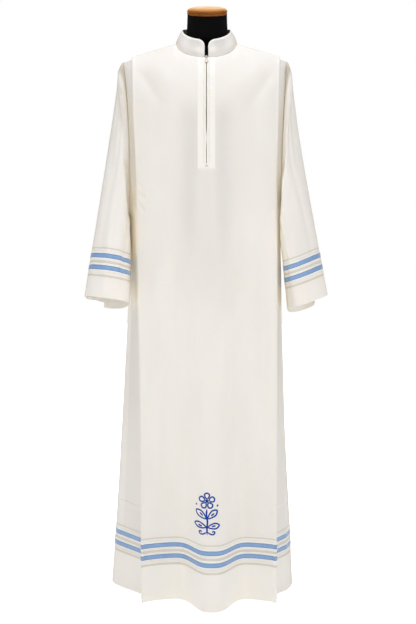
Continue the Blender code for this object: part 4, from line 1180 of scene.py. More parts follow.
def sleeve_lines(side, ring, turns):
    """Every line of a sleeve from the armhole to the cuff, in many small steps: (step, line, xyz)."""
    table = SLEEVE_LINES[side]
    first = table[0].along
    away = 2 * SEAM_GAP + ARMHOLE_EASE * np.sqrt(abs(np.sin(turns / 2)))
    start = ring + np.stack((side * away, 0 * away, 0 * away), -1)
    path = [start]
    for i in range(1, LINE_STEPS + 1):
        along = i / LINE_STEPS
        top, under, ahead, behind = (
            np.array([read(table, f"{name}_{axis}", max(along, first), "along") for axis in "xyz"])
            for name in ("top", "under", "front", "back")
        )
        centre = (top + under) / 2
        across = np.where((turns <= math.pi)[:, None], ahead - centre, centre - behind)
        points = centre + (top - under) / 2 * np.cos(turns)[:, None] + across * np.sin(turns)[:, None]
        points[:, 0] *= side
        path.append(blend(start, points, min(along / first, 1.0)))
    return np.stack(path)


def run_along(points):
    """How far along a line each of its points lies."""
    return np.concatenate(([0.0], np.cumsum(steps_along(points, 0))))


def places_at(distances, along, values):
    """What a line's values are at distances along it."""
    return np.stack([np.interp(distances, along, values[:, k]) for k in range(3)], -1)


def lift_back_edge(grid, turns, side):
    step = CUFF_STEPS[side]
    x = abs(grid[-1, :, 0])
    behind = (turns > math.pi) & (turns < 2 * math.pi)
    share = faded(x, step.x, step.x + STEP_SOFT) * (1 - faded(x, step.fade_from, step.fade_to)) * behind
    up = unit(grid[-8] - grid[-1])
    reach = np.clip(1 - np.linspace(CUFF_BAND, 0, CUFF_ROWS) / STEP_REACH, 0, 1)
    grid[-CUFF_ROWS:] += (reach[:, None] * share)[..., None] * step.rise * up


def fold_height(grid, turns, side):
    """How far the folds lift a sleeve's cloth at each place."""
    down = np.linspace(0, 1, len(grid))[:, None]
    girth = np.linalg.norm(np.roll(grid, -1, 1) - grid, axis=2).sum(1)[:, None]
    height = np.zeros(grid.shape[:2])
    for fold in SLEEVE_FOLDS[side]:
        share = (down - fold.start) / (fold.end - fold.start)
        centre = math.radians(fold.turn) + math.radians(fold.wind) * share
        aside = (np.degrees(turns[None] - centre) + 180) % 360 - 180
        taper = faded(share, 0.0, 0.3) * (1 - faded(share, 0.75, 1.0))
        height += fold.out * bell(aside / 360 * girth, fold.half_width) * taper
    return height


def sleeve_cloth(side):
    ring = armhole_ring(side)
    turns = ring_turns(ring)
    shares = (np.arange(SLEEVE_ROWS) / SLEEVE_ROWS) ** ROW_BUNCHING
    band = np.linspace(CUFF_BAND, 0, CUFF_ROWS)
    columns = []
    for path in sleeve_lines(side, ring, turns).transpose(1, 0, 2):
        along = run_along(path[::-1])
        distances = np.concatenate((along[-1] - shares * (along[-1] - CUFF_BAND), band))
        columns.append(places_at(distances, along, path[::-1]))
    grid = np.stack(columns, 1)
    for _ in range(CAP_SOFTENING):
        grid[1:9] = (grid[:8] + 2 * grid[1:9] + grid[2:10]) / 4
    rows = np.arange(len(grid))
    height = (fold_height(grid, turns, side) + unevenness(grid, 11.3 + side)) * faded(rows, 0, 5)[:, None]
    front_share = abs(np.sin(turns)) ** 0.5 * np.where(turns < math.pi, 1.0, 0.5)
    height += OVER_SEAM[side] * front_share * (faded(rows, 0, 2.5) * (1 - faded(rows, 7, 24)))[:, None]
    lift_back_edge(grid, turns, side)
    if side > 0:
        grid, height = grid[:, ::-1], height[:, ::-1]
    grid = grid + outward(grid, True) * height[..., None]
    return Cloth(grid, outward(grid, True), np.concatenate((np.full(SLEEVE_ROWS, 1.0), band)), True)


def sleeve_seam_shade(side):
    """Painted shade: 1 beside the armhole's seam, where the sleeve turns in towards the body, and 0 elsewhere."""
    beside = abs(np.sin(ring_turns(armhole_ring(side)))) ** 0.5
    rows = np.arange(SLEEVE_ROWS + CUFF_ROWS)[:, None]
    shade = np.maximum(1 - faded(rows, 4.5, 9.5), SHADE_BEYOND[side] * (1 - faded(rows, 8, 28)))
    return shade * beside[:: -1 if side > 0 else 1]


sleeves = {side: sleeve_cloth(side) for side in (-1, 1)}
for side, word in ((-1, "left"), (1, "right")):
    cloth = sleeves[side]
    single = faded(cloth.levels, CUFF_DOUBLED - DOUBLED_SOFT, CUFF_DOUBLED + DOUBLED_SOFT)[:, None]
    # painted shade on the upper sleeve, fading out between a quarter and three quarters of the way down
    upper_sleeve_shade = 1 - faded(np.linspace(0, 1, len(cloth.grid)), 0.25, 0.75)[:, None]
    piece = cloth_piece(
        f"set_in_sleeve_{word}", cloth, CLOTH, cream_cloth, doubled=CUFF_WHITER * (1 - single),
        seen_through=SLEEVE_SHADE[side] * upper_sleeve_shade, in_valley=sleeve_seam_shade(side),
    )  # fmt: skip
    place_on(piece, "cream_cloth", f"sleeve_{word}")


# ---- Stand collar ----
# A band of doubled twill with a stiff interlining, cut on the neckline's curve, rounded at its two front
# corners, and sewn on standing up, so that its front edges meet over the top of the zip.

COLLAR_HALF = 0.0635
COLLAR_FRONT = 0.068
COLLAR_BACK = 0.060
COLLAR_SIDE_Z = 1.542
COLLAR_FRONT_DROP = 0.0302
COLLAR_BACK_RISE = 0.008
COLLAR_OPEN = 0.0048
COLLAR_CORNER_R = 0.017
COLLAR_SEAM = 0.0010
COLLAR_BOW = 0.002
COLLAR_THICK = 0.0016
COLLAR_ROWS = 18
COLLAR_TURNS = ((3.4, 30.0, 26), (30.0, 180.0, 46))  # degrees from the centre front, and steps between them
# Where each dent's middle is, in degrees from the centre front and as a share of the way up, how far it
# pushes the collar out, and how wide it is both ways
Dent = namedtuple("Dent", "turn step out turn_width step_width")
COLLAR_DENTS = (
    Dent(-26, 0.72, -0.0034, 10, 0.22),
    Dent(30, 0.70, -0.0032, 12, 0.22),
    Dent(-15, 0.36, 0.0026, 9, 0.18),
    Dent(12, 0.40, 0.0024, 8, 0.18),
    Dent(-22, 0.08, -0.0022, 13, 0.14),
    Dent(28, 0.16, -0.0010, 12, 0.16),
    Dent(-56, 0.35, 0.0018, 15, 0.30),
    Dent(58, 0.40, 0.0018, 14, 0.30),
    Dent(-118, 0.50, -0.0012, 16, 0.35),
    Dent(135, 0.45, -0.0012, 18, 0.35),
    Dent(178, 0.40, 0.0010, 20, 0.30),
)
COLLAR_SHADE = 0.60  # painted shade: how dark the flat band is, and how deep a dent is that darkens it by 1
DENT_SHADE = 0.0027

collar_turns = [blend(a, b, i / count) for a, b, count in COLLAR_TURNS for i in range(count)] + [COLLAR_TURNS[-1][1]]
collar_turns = [-turn for turn in collar_turns[:-1]] + collar_turns[::-1]
collar_steps = [1 - k / COLLAR_ROWS for k in range(COLLAR_ROWS + 1)]


def dented(degrees, step):
    """How far the dents push the collar out at a place."""
    push = 0.0
    for dent in COLLAR_DENTS:
        push += dent.out * bell(degrees - dent.turn, dent.turn_width) * bell(step - dent.step, dent.step_width)
    return push * math.sqrt(step)


def collar_point(degrees, step):
    turn = math.radians(degrees)
    forward = math.cos(turn)
    base = neckline(abs(turn))
    base.x = math.copysign(base.x, turn)
    reach, rise = (COLLAR_FRONT, -COLLAR_FRONT_DROP) if forward > 0 else (COLLAR_BACK, -COLLAR_BACK_RISE)
    top = Vector((COLLAR_HALF * math.sin(turn), -reach * forward, COLLAR_SIDE_Z + rise * forward))
    if abs(degrees) == COLLAR_TURNS[0][0]:
        top.x = math.copysign(COLLAR_OPEN, turn)
    up = top - base
    corner = COLLAR_CORNER_R - min(abs(top.x) - COLLAR_OPEN, COLLAR_CORNER_R)
    drop = COLLAR_CORNER_R - math.sqrt(max(0.0, COLLAR_CORNER_R**2 - corner**2)) if forward > 0 else 0.0
    bow = COLLAR_BOW * 4 * step * (1 - step) + dented(degrees, step)
    out = Vector((math.sin(turn), -forward, 0))
    return list(base + up.normalized() * blend(COLLAR_SEAM, up.length - drop, step) + out * bow)


collar_grid = np.array([[collar_point(degrees, step) for degrees in collar_turns] for step in collar_steps])
collar = Cloth(collar_grid, outward(collar_grid), None, False)
collar_rows = np.arange(COLLAR_ROWS + 1)[:, None]
edge_round = np.minimum(1.0, 0.55 + 0.45 * faded(collar_rows, 0, 2))
# painted highlight: the collar's top rows are whiter, for the bright line along its rim
rim_highlight = 1 - faded(collar_rows, 0.0, 2.5)
dents = np.array([[dented(degrees, step) for degrees in collar_turns] for step in collar_steps])
# painted shade on the collar: the flat band is darkened, dents darker still and bulges lighter; at the dents partly
# the black neck showing through
collar_shade = np.clip(COLLAR_SHADE - dents / DENT_SHADE, 0, 1) * (1 - rim_highlight)
collar_piece = cloth_piece(
    "stand_collar_band", collar, COLLAR_THICK * edge_round, cream_cloth, doubled=rim_highlight, seen_through=collar_shade
)
place_on(collar_piece, "cream_cloth", "stand_collar")


# ---- Satin ribbons ----
# Two rows of blue polyester satin ribbon, 12 mm wide, top-stitched along both selvedges: on each panel from
# side seam to side seam, and round each cuff with its ends joined at the underarm.

RIBBON_WIDTH = 0.012
RIBBON_THICK = 0.0006
HEM_RIBBONS = (0.1156, 0.1470)
CUFF_RIBBONS = (0.0726, 0.1040)
RIBBON_CROWN = 0.0002
RIBBON_CLEAR = 0.0002


def line_at(cloth, level):
    """One line of a cloth at a level: its points, the way out and the way down at each."""
    r = max(i for i in range(len(cloth.levels) - 1) if cloth.levels[i] >= level)
    share = (cloth.levels[r] - level) / (cloth.levels[r] - cloth.levels[r + 1])
    out = unit(blend(cloth.out[r], cloth.out[r + 1], share))
    points = blend(cloth.grid[r], cloth.grid[r + 1], share) + out * CLOTH / 2
    return points, out, unit(cloth.grid[r + 1] - cloth.grid[r])


def swept_part(line, profile, wrap=False, widths=None):
    """A strip along a line of cloth with a closed section of (down, out) pairs, drawn clockwise."""
    points, out, down = line
    profile = np.asarray(profile, float)
    count, sides = len(points), len(profile)
    wide = np.ones(count) if widths is None else widths
    aside = down[:, None] * profile[None, :, :1] * wide[:, None, None]
    rings = points[:, None] + aside + out[:, None] * profile[None, :, 1:]
    along, around = (run_along(np.concatenate((row, row[:1]))) for row in (points, profile))
    i, j = np.meshgrid(np.arange(count if wrap else count - 1), np.arange(sides), indexing="ij")
    i, j = i.reshape(-1), j.reshape(-1)
    n, k = (i + 1) % count, (j + 1) % sides
    faces = np.stack((i * sides + j, n * sides + j, n * sides + k, i * sides + k), -1).tolist()
    start, end, low, high = along[i], along[i + 1], around[j], around[j + 1]
    grain = np.stack((start, low, end, low, end, high, start, high), -1).reshape(-1, 2)
    if not wrap:
        faces += [list(range(sides)), [(count - 1) * sides + m for m in range(sides)][::-1]]
        grain = np.concatenate((grain, profile, profile[::-1]))
    return rings.reshape(-1, 3), faces, grain


def joined(name, parts, material, sharp=50.0):
    """One mesh from several parts, each of which has its points, its faces and their grain."""
    points, faces, grain, before = [], [], [], 0
    for part_points, part_faces, part_grain in parts:
        points.append(part_points)
        faces += [[corner + before for corner in face] for face in part_faces]
        grain.append(part_grain)
        before += len(part_points)
    return mesh_piece(name, np.concatenate(points), faces, np.concatenate(grain), material, sharp)


blue_satin = principled(
    "blue_satin", (0.216, 0.370, 0.640), 0.36, Sheen_Weight=0.30, Sheen_Roughness=0.35, Specular_IOR_Level=0.55
)
ribbon_place = grain_of(blue_satin)
across = node(blue_satin, "SeparateXYZ", "Y", {"Vector": ribbon_place})
from_line = worked(blue_satin, "ABSOLUTE", worked(blue_satin, "SUBTRACT", across, RIBBON_WIDTH / 2))
selvedge = ranged(blue_satin, from_line, RIBBON_WIDTH * 0.26, RIBBON_WIDTH * 0.49, kind="SMOOTHSTEP")
# slubs in the yarn, and lighter streaks in the colour as painted glints
slubs_and_glints = cloudy(blue_satin, grain_of(blue_satin, (90.0, 1500.0, 1.0)), 1.0, 4.0, 0.6)
satin_face_with_glints = colour_ramp(
    blue_satin, slubs_and_glints, (0.30, (0.152, 0.286, 0.545)), (0.50, (0.220, 0.365, 0.610)), (0.70, (0.350, 0.495, 0.710))
)
feed(blue_satin, "Base Color", mixed(blue_satin, selvedge, satin_face_with_glints, (0.125, 0.250, 0.500)))
floats = ribbed(blue_satin, ribbon_place, 0.0005, 0.6, 3.0, "Y")
bump(blue_satin, worked(blue_satin, "ADD", floats, slubs_and_glints), 0.00008, 0.6)

# A flat strip's section, a little crowned across, from the upper selvedge's outer corner on
ribbon_across = [-RIBBON_WIDTH / 2 + RIBBON_WIDTH * i / 6 for i in range(7)]
ribbon = [
    (a, RIBBON_CLEAR + RIBBON_THICK + RIBBON_CROWN * (1 - (2 * a / RIBBON_WIDTH) ** 2)) for a in ribbon_across
] + [(RIBBON_WIDTH / 2, RIBBON_CLEAR), (-RIBBON_WIDTH / 2, RIBBON_CLEAR)]
Edge = namedtuple("Edge", "name cloth word solid carrier base ribbons doubled")
EDGES = (
    Edge("hem", front, "front", "hem_ribbon", "front_panel", HEM_Z, HEM_RIBBONS, HEM_DOUBLED),
    Edge("hem", back, "back", "hem_ribbon", "back_panel", HEM_Z, HEM_RIBBONS, HEM_DOUBLED),
    Edge("cuff", sleeves[-1], "left", "sleeve_ribbon", "set_in_sleeve_left", 0.0, CUFF_RIBBONS, CUFF_DOUBLED),
    Edge("cuff", sleeves[1], "right", "sleeve_ribbon", "set_in_sleeve_right", 0.0, CUFF_RIBBONS, CUFF_DOUBLED),
)
for edge in EDGES:
    for height, row in zip(edge.ribbons, ("lower", "upper")):
        line = line_at(edge.cloth, edge.base + height + RIBBON_WIDTH / 2)
        strip = swept_part(line, ribbon, edge.cloth.wrap)
        piece = joined(f"{edge.name}_satin_ribbon_{row}_{edge.word}", [strip], blue_satin)
        place_on(piece, "blue_satin", f"{edge.solid}_{row}_{edge.word}")


# ---- Drawn-thread rows and pin tucks ----
# Between and beside the ribbons the twill has rows where threads are drawn out and the rest bunched into a
# beige ladder, and fine pin tucks. All of them run level with the hem and the cuff, a few threads proud.

Row = namedtuple("Row", "above width")  # centre above the lowest drawn row, and width, both in metres
DRAWN_ROWS = (Row(0.0, 0.0060), Row(0.0368, 0.0066), Row(0.0730, 0.0038))
DRAWN_BELOW = 0.0156  # from the lower ribbon down to the lowest drawn row
PIN_TUCKS = (0.0045, 0.0078, 0.0110, 0.0318, 0.0418, 0.0632, 0.0664, 0.0696)
EDGE_TUCKS = (0.0141, 0.0291, 0.0454, 0.0604)
LADDER_PITCH = 0.0021
tuck_section = [(-0.0006, -0.0002), (-0.0003, 0.0005), (0.0003, 0.0005), (0.0006, -0.0002)]
edge_section = [(-0.0016, -0.0002), (-0.0011, 0.0009), (0.0, 0.0013), (0.0011, 0.0009), (0.0016, -0.0002)]

# Beige ladder: bunched threads, with painted shade between them for the holes where the robe's shaded inside shows
# through
drawn_threads = principled("drawn_threads", (0.700, 0.640, 0.550), 0.9, Sheen_Weight=0.1)
bars = ribbed(drawn_threads, grain_of(drawn_threads), LADDER_PITCH, 0.5, 1.2)
ladder = colour_ramp(
    drawn_threads, bars, (0.25, (0.560, 0.500, 0.410)), (0.55, (0.760, 0.700, 0.605)), (0.85, (0.860, 0.815, 0.735))
)
feed(drawn_threads, "Base Color", ladder)
bump(drawn_threads, bars, 0.0003, 0.8)
# a lighter copy of the cream cloth for the tucks: painted highlight, as if they caught the light
tuck_cloth = woven("tuck_cloth", (0.975, 0.950, 0.890), (0.960, 0.930, 0.865), 0.85)

strips = []
for row in DRAWN_ROWS:
    half = row.width / 2
    strips.append((row.above, [(-half, -0.0001), (-half * 0.8, 0.0002), (half * 0.8, 0.0002), (half, -0.0001)]))
tucks = [(above, tuck_section) for above in PIN_TUCKS] + [(above, edge_section) for above in EDGE_TUCKS]
for edge in EDGES:
    lowest = edge.base + edge.ribbons[0] - DRAWN_BELOW
    for name, rows, material in (("drawn_rows", strips, drawn_threads), ("pin_tucks", tucks, tuck_cloth)):
        parts = [swept_part(line_at(edge.cloth, lowest + above), section, edge.cloth.wrap) for above, section in rows]
        place_on(joined(f"{edge.name}_{name}_{edge.word}", parts, material), "cream_cloth")

# The growth tuck: one more tuck on the pleats' under layers, from the fold back to the side seam
GROWTH_TUCK = 0.244
growth_section = [(-0.0012, -0.0002), (-0.0008, 0.0010), (0.0006, 0.0012), (0.0014, -0.0002)]
growth_tucks = []
for cloth, panel in ((front, FRONT), (back, BACK)):
    line = line_at(cloth, HEM_Z + GROWTH_TUCK)
    reach = sum(panel.under_steps) + PLEAT_STEPS[-1] - 2
    for part in (slice(0, reach), slice(-reach, None)):
        growth_tucks.append(swept_part([values[part] for values in line], growth_section))
place_on(joined("growth_tucks", growth_tucks, tuck_cloth), "cream_cloth")


# ---- Front zip ----
# A closed metal zip 270 mm long: two woven tapes with brass-wire teeth clamped on, nickel-plated, sewn behind
# the slit on a doubled facing. The slider stays at the top and its stamped pull hangs from a bridge.

TAPE_HALF = 0.0130
TAPE_THICK = 0.0005
TAPE_BEHIND = 0.0014
FACING_THICK = 0.0006
FACING_BEHIND = 0.0021
TAPE_EDGE = 0.0006
TOOTH_PITCH = 0.00105
TOOTH_OUT = 0.0014
TOOTH_IN = 0.0005
TOOTH_LONG = 0.00080
TOOTH_THICK = 0.0014
TOOTH_CORNER = 0.62
TOOTH_TIP = 0.0002
TOOTH_TAPER = 0.75
ZIP_TOP_ROW = 3
SLIDER_HALF = 0.00325
SLIDER_WAIST = 0.85
SLIDER_TAIL = 0.75
SLIDER_SHOULDER = 0.70
SLIDER_LONG = 0.010
PLATE_THICK = 0.0014
BRIDGE_HALF = 0.0008
BRIDGE_POST = 0.0009
BRIDGE_REACH = 0.0036
BRIDGE_ROOM = 0.0020
BRIDGE_THICK = 0.0008
PULL_BAR = 0.0006
PULL_THICK = 0.0010
PULL_LONG = 0.0200
PULL_TOP_HALF = 0.0028
PULL_WAIST = (0.0026, -0.0066)
PULL_LOW_HALF = 0.0040
WINDOW_HALF = 0.0016
WINDOW_END = 0.0047
EDGE_ROUND = 0.00022

nickel = principled("nickel", (0.42, 0.40, 0.36), 0.24, Metallic=1.0)
# painted reflection: the nickel turns dark towards edges seen side-on, as if it mirrored a dark room
painted_reflection = colour_ramp(
    nickel, node(nickel, "LayerWeight", "Facing"),
    (0.05, (0.400, 0.380, 0.340)), (0.25, (0.180, 0.165, 0.140)), (0.50, (0.040, 0.036, 0.030)),
)  # fmt: skip
# painted shadow: near black where metal lies close behind, as under the pull
shadow_under_pull = ranged(nickel, node(nickel, "AmbientOcclusion", "AO", {"Distance": 0.005}, samples=4), 0.85, 0.40)
feed(nickel, "Base Color", mixed(nickel, shadow_under_pull, painted_reflection, (0.020, 0.017, 0.013)))
worn = cloudy(nickel, node(nickel, "TexCoord", "Object"), 900.0, 4.0)
feed(nickel, "Roughness", ranged(nickel, worn, 0.0, 1.0, 0.14, 0.40))
bump(nickel, worn, 0.00003)
# painted shade: a dark brownish copy of the nickel, for the teeth deep in the slit
dull_nickel = principled("dull_nickel", (0.280, 0.210, 0.130), 0.42, Metallic=1.0)
zip_tape_cloth = woven("zip_tape_cloth", (0.560, 0.480, 0.360), (0.480, 0.400, 0.280), 0.85)


def behind_slit(places, rows, deep):
    """The front's cloth at distances from the centre line, moved in by so much."""
    near = slice(middle_column - 12, middle_column + 14)
    grid, out = (
        np.stack([
            places_at(places, across[:, 0], values)
            for across, values in zip(front.grid[rows, near], layer[rows, near])
        ])
        for layer in (front.grid, front.out)
    )  # fmt: skip
    grid[..., 0] = places
    out = unit(out)
    return Cloth(grid - out * deep, out, front.levels[rows], False)


def split_strip(name, half, rows, deep, thick, material, **layers):
    """A strip behind the zip, open down its middle as far as the slit runs."""
    cloth = behind_slit(np.concatenate((-half[::-1], half)), slice(0, rows), deep)
    cells = [(row, len(half) - 1) for row in range(SLIT_ROWS)]
    return cloth_piece(name, cloth, thick, material, cells, **layers)


facing_half = np.linspace(SLIT / 2, FACING_HALF, 10)
facing_rows = row_at(FACING_END_Z) + 1
facing_piece = split_strip(
    "zip_facing_strip", facing_half, facing_rows, FACING_BEHIND, FACING_THICK, cream_cloth, doubled=1.0
)
place_on(facing_piece, "cream_cloth", "zip_facing")
tape_half = np.linspace(TAPE_EDGE, TAPE_HALF, 7)
tape_piece = split_strip("zip_tapes", tape_half, SLIT_ROWS + 1, TAPE_BEHIND, TAPE_THICK, zip_tape_cloth)
place_on(tape_piece, "zip_tape_cloth", "zip_tape")


def finished(name, build, material):
    """A metal piece with its edges rounded over."""
    bmesh.ops.recalc_face_normals(build, faces=build.faces)
    edges = [edge for edge in build.edges if edge.calc_face_angle(0.0) > 0.35]
    bmesh.ops.bevel(build, geom=edges, offset=EDGE_ROUND, segments=3, profile=0.5, affect="EDGES", clamp_overlap=True)
    mesh = bpy.data.meshes.new(name)
    build.to_mesh(mesh)
    build.free()
    return smooth_piece(name, mesh, material, 40.0)


def extruded(build, outlines, thick, place):
    """A flat plate in the place's X and Y, with its thickness along Z. Outlines after the first are holes."""
    loops = [
        [[build.verts.new(place @ Vector((x, y, z))) for x, y in loop] for loop in outlines]
        for z in (-thick / 2, thick / 2)
    ]
    for level in loops:
        edges = [build.edges.new(ends) for loop in level for ends in zip(loop, loop[1:] + loop[:1])]
        bmesh.ops.triangle_fill(build, edges=edges, use_beauty=True)
    for low, high in zip(*loops):
        for a, b, c, d in zip(low, low[1:] + low[:1], high[1:] + high[:1], high):
            build.faces.new((a, b, c, d))


def teeth(line):
    """Teeth along the chain, left and right in turn, each clamped on its tape and hooked over the centre."""
    along = run_along(line[0])
    long, thick = TOOTH_LONG / 2, TOOTH_THICK / 2
    corner = [(long * TOOTH_CORNER, thick), (long, thick * TOOTH_CORNER)]
    half = corner + [(a, -b) for a, b in corner[::-1]]
    section = [(-a, -b) for a, b in half] + half
    for i in range(int(along[-1] / TOOTH_PITCH)):
        middle, up, down = (Vector(places_at((i + 0.5) * TOOTH_PITCH, along, values)) for values in line)
        side = 1 if i % 2 else -1
        start, end = sorted((-side * TOOTH_IN, side * TOOTH_OUT))
        corners = [
            list(middle + Vector((x, 0, 0)) + down.normalized() * a * size + up.normalized() * b * size)
            for x, size in ((start, TOOTH_TAPER), (start + TOOTH_TIP, 1.0), (end - TOOTH_TIP, 1.0), (end, TOOTH_TAPER))
            for a, b in section
        ]
        yield np.array(corners), tube_faces(4, 8), np.zeros((3 * 8 * 4 + 16, 2))


chain = behind_slit(np.array((0.0,)), slice(ZIP_TOP_ROW, SLIT_ROWS + 1), TAPE_BEHIND)
chain_line = (chain.grid[:, 0], chain.out[:, 0], unit(np.gradient(chain.grid[:, 0], axis=0)))
place_on(joined("zip_teeth", list(teeth(chain_line)), dull_nickel, 30.0), "nickel", "zip_chain")

rough = panel_grid(FRONT)
top, below = (Vector((rough[row, middle_column] + rough[row, middle_column + 1]) / 2) for row in (0, 4))
zip_up = (top - below).normalized()
zip_out = Vector((1, 0, 0)).cross(zip_up)
slider_turn = Matrix((Vector((1, 0, 0)), zip_up, zip_out)).transposed().to_4x4()
slider_place = top + zip_out * (CLOTH / 2 + SEAM_GAP)
on_slider = Matrix.Translation(slider_place) @ slider_turn


def both_sides(points):
    """An outline's one side, and the same mirrored on the way back."""
    return points + [(-x, y) for x, y in points[::-1]]


def arc(half, drop, steps):
    """A half round below a height, from one side to the other."""
    turns = [math.pi * i / steps for i in range(steps + 1)]
    return [(half * math.cos(t), drop - half * math.sin(t)) for t in turns]


half = SLIDER_LONG / 2
slider_side = smooth_through(
    [(SLIDER_HALF * SLIDER_TAIL, -half), (SLIDER_HALF * SLIDER_WAIST, 0.0), (SLIDER_HALF, half * SLIDER_SHOULDER),
     (SLIDER_HALF * SLIDER_SHOULDER, half)],
    (4, 4, 4),
).tolist()  # fmt: skip
slider = bmesh.new()
extruded(slider, [both_sides(slider_side)], PLATE_THICK, on_slider @ Matrix.Translation((0, 0, PLATE_THICK / 2)))
bridge_top = PLATE_THICK + BRIDGE_ROOM
bends = [math.pi / 2 * i / 5 for i in range(6)]
bridge_outer = [(BRIDGE_REACH, PLATE_THICK / 2)] + [
    (BRIDGE_REACH - BRIDGE_THICK * (1 - math.cos(t)), bridge_top + BRIDGE_THICK * math.sin(t)) for t in bends
]
bridge_inner = [(BRIDGE_REACH - BRIDGE_POST, height) for height in (PLATE_THICK / 2, bridge_top)]
side_on = Matrix(((0, 0, 1, 0), (1, 0, 0, 0), (0, 1, 0, 0), (0, 0, 0, 1)))
bridge_outline = both_sides(bridge_outer) + both_sides(bridge_inner)[::-1]
extruded(slider, [bridge_outline], 2 * BRIDGE_HALF, on_slider @ side_on)
place_on(finished("zip_slider_body", slider, nickel), "nickel", "zip_slider")

pull_low = PULL_LONG - PULL_LOW_HALF
waist = smooth_through([(PULL_TOP_HALF, PULL_BAR), PULL_WAIST, (PULL_LOW_HALF, -pull_low)], (5, 7)).tolist()[:-1]
pull_outline = waist + arc(PULL_LOW_HALF, -pull_low, 24) + [(-x, y) for x, y in waist[::-1]]
window = [(-WINDOW_HALF, -PULL_BAR), (WINDOW_HALF, -PULL_BAR), *arc(WINDOW_HALF, WINDOW_HALF - WINDOW_END, 10)]
pull = bmesh.new()
extruded(pull, [pull_outline, window], PULL_THICK, Matrix())
pull_piece = finished("zip_pull_tab", pull, nickel)
hinge = slider_turn @ Vector((0, 0, PLATE_THICK + BRIDGE_ROOM / 2)) + slider_place
pull_piece.matrix_world = Matrix.Translation(hinge) @ slider_turn
place_on(pull_piece, "nickel", "zip_pull", body="pull_tab")


# ---- Machine stitching ----
# Cotton and polyester thread in lockstitch: two rows that hold the zip and a bar tack at its end, one row on
# each ribbon selvedge, and the turned hem, the cuffs and the collar's base.

Seam = namedtuple("Seam", "pitch long thick")
ZIP_STITCH = Seam(0.0046, 0.0028, 0.00080)
TACK_STITCH = Seam(0.0016, 0.0015, 0.00080)
EDGE_STITCH = Seam(0.0030, 0.0024, 0.00030)
HEM_STITCH = Seam(0.0050, 0.0022, 0.00034)
STITCH_INSET = 0.0007  # from a ribbon's selvedge to its row of stitches
HEM_STITCH_INSET = 0.002
THREAD_SIDES = 6
# The rings of one stitch: how far along it they lie, their size and how high they stand
STITCH_RINGS = ((0.0, 0.35, -0.6), (0.18, 1.0, 0.25), (0.82, 1.0, 0.25), (1.0, 0.35, -0.6))


def stitches(line, seam, wrap=False):
    """A row of separate stitches along a line, each a short thread that dips into the cloth at both ends."""
    points, out = (np.concatenate((row, row[:1])) if wrap else row for row in line[:2])
    along = run_along(points)
    starts = np.arange(0.5 * seam.pitch, along[-1] - seam.pitch, seam.pitch)
    rings = []
    for share, size, lift in STITCH_RINGS:
        at = starts + share * seam.long
        middle = places_at(at, along, points)
        up = unit(places_at(at, along, out))
        aside = unit(np.cross(places_at(at + 1e-4, along, points) - middle + 1e-12, up))
        r = seam.thick / 2
        turns = [math.radians(45 + 360 / THREAD_SIDES * k) for k in range(THREAD_SIDES)]
        ring = [middle + up * r * (lift + size * math.sin(a)) + aside * r * size * math.cos(a) for a in turns]
        rings.append(np.stack(ring, 1))
    mesh = np.stack(rings, 1).reshape(-1, 3)
    each = len(rings) * THREAD_SIDES
    one = tube_faces(len(rings), THREAD_SIDES)
    faces = [[corner + each * i for corner in face] for i in range(len(starts)) for face in one]
    grain = [
        (share / 3, j / THREAD_SIDES) for k in range(3) for j in range(THREAD_SIDES) for share in (k, k, k + 1, k + 1)
    ]
    ends = [(0.0, 0.0)] * (2 * THREAD_SIDES)
    return mesh, faces, np.tile(np.array(grain + ends), (len(starts), 1)) * seam.long


def thread(name, color):
    """Sewing thread, with the twist of its plies across each stitch."""
    material = principled(name, color, 0.6, Sheen_Weight=0.2, Sheen_Roughness=0.4)
    bump(material, ribbed(material, grain_of(material, degrees=35.0), 0.00035, 0.2), 0.00006)
    return material


cream_thread = thread("cream_thread", (0.800, 0.760, 0.670))
zip_thread = thread("zip_thread", (0.420, 0.360, 0.260))
blue_thread = thread("blue_thread", (0.120, 0.240, 0.520))

zip_rows = slice(2, SLIT_ROWS + 2)
zip_seams = []
for column in (middle_column - 4, middle_column + 5):
    out = front.out[zip_rows, column]
    zip_seams.append(stitches((front.grid[zip_rows, column] + out * CLOTH / 2, out), ZIP_STITCH))
tack_row = SLIT_ROWS + 1
tack = slice(middle_column - 3, middle_column + 5)
for below in (0.0, 0.35, 0.7):
    out = front.out[tack_row, tack]
    spots = blend(front.grid[tack_row, tack], front.grid[tack_row + 1, tack], below)
    zip_seams.append(stitches((spots + out * CLOTH / 2, out), TACK_STITCH))
place_on(joined("zip_stitching", zip_seams, zip_thread, 80.0), "cream_cloth")

for edge in EDGES:
    selvedges = []
    for height in edge.ribbons:
        for above in (STITCH_INSET, RIBBON_WIDTH - STITCH_INSET):
            points, out, _ = line_at(edge.cloth, edge.base + height + above)
            on_ribbon = (points + out * (RIBBON_THICK + RIBBON_CLEAR), out)
            selvedges.append(stitches(on_ribbon, EDGE_STITCH, edge.cloth.wrap))
    place_on(joined(f"{edge.name}_ribbon_stitching_{edge.word}", selvedges, blue_thread, 80.0), "blue_satin")
    hem_line = line_at(edge.cloth, edge.base + edge.doubled - HEM_STITCH_INSET)
    hem_row = stitches(hem_line, HEM_STITCH, edge.cloth.wrap)
    place_on(joined(f"{edge.name}_stitching_{edge.word}", [hem_row], cream_thread, 80.0), "cream_cloth")

collar_row = stitches((collar.grid[-2] + collar.out[-2] * COLLAR_THICK / 2, collar.out[-2]), EDGE_STITCH)
place_on(joined("collar_stitching", [collar_row], cream_thread, 80.0), "cream_cloth")


# ---- Embroidered flower ----
# A five-petalled flower on a stem with paired leaves, sewn in deep blue rayon thread over the middle of the
# hem. Every line is satin stitch: close threads laid across it, thicker in its middle than at its ends.

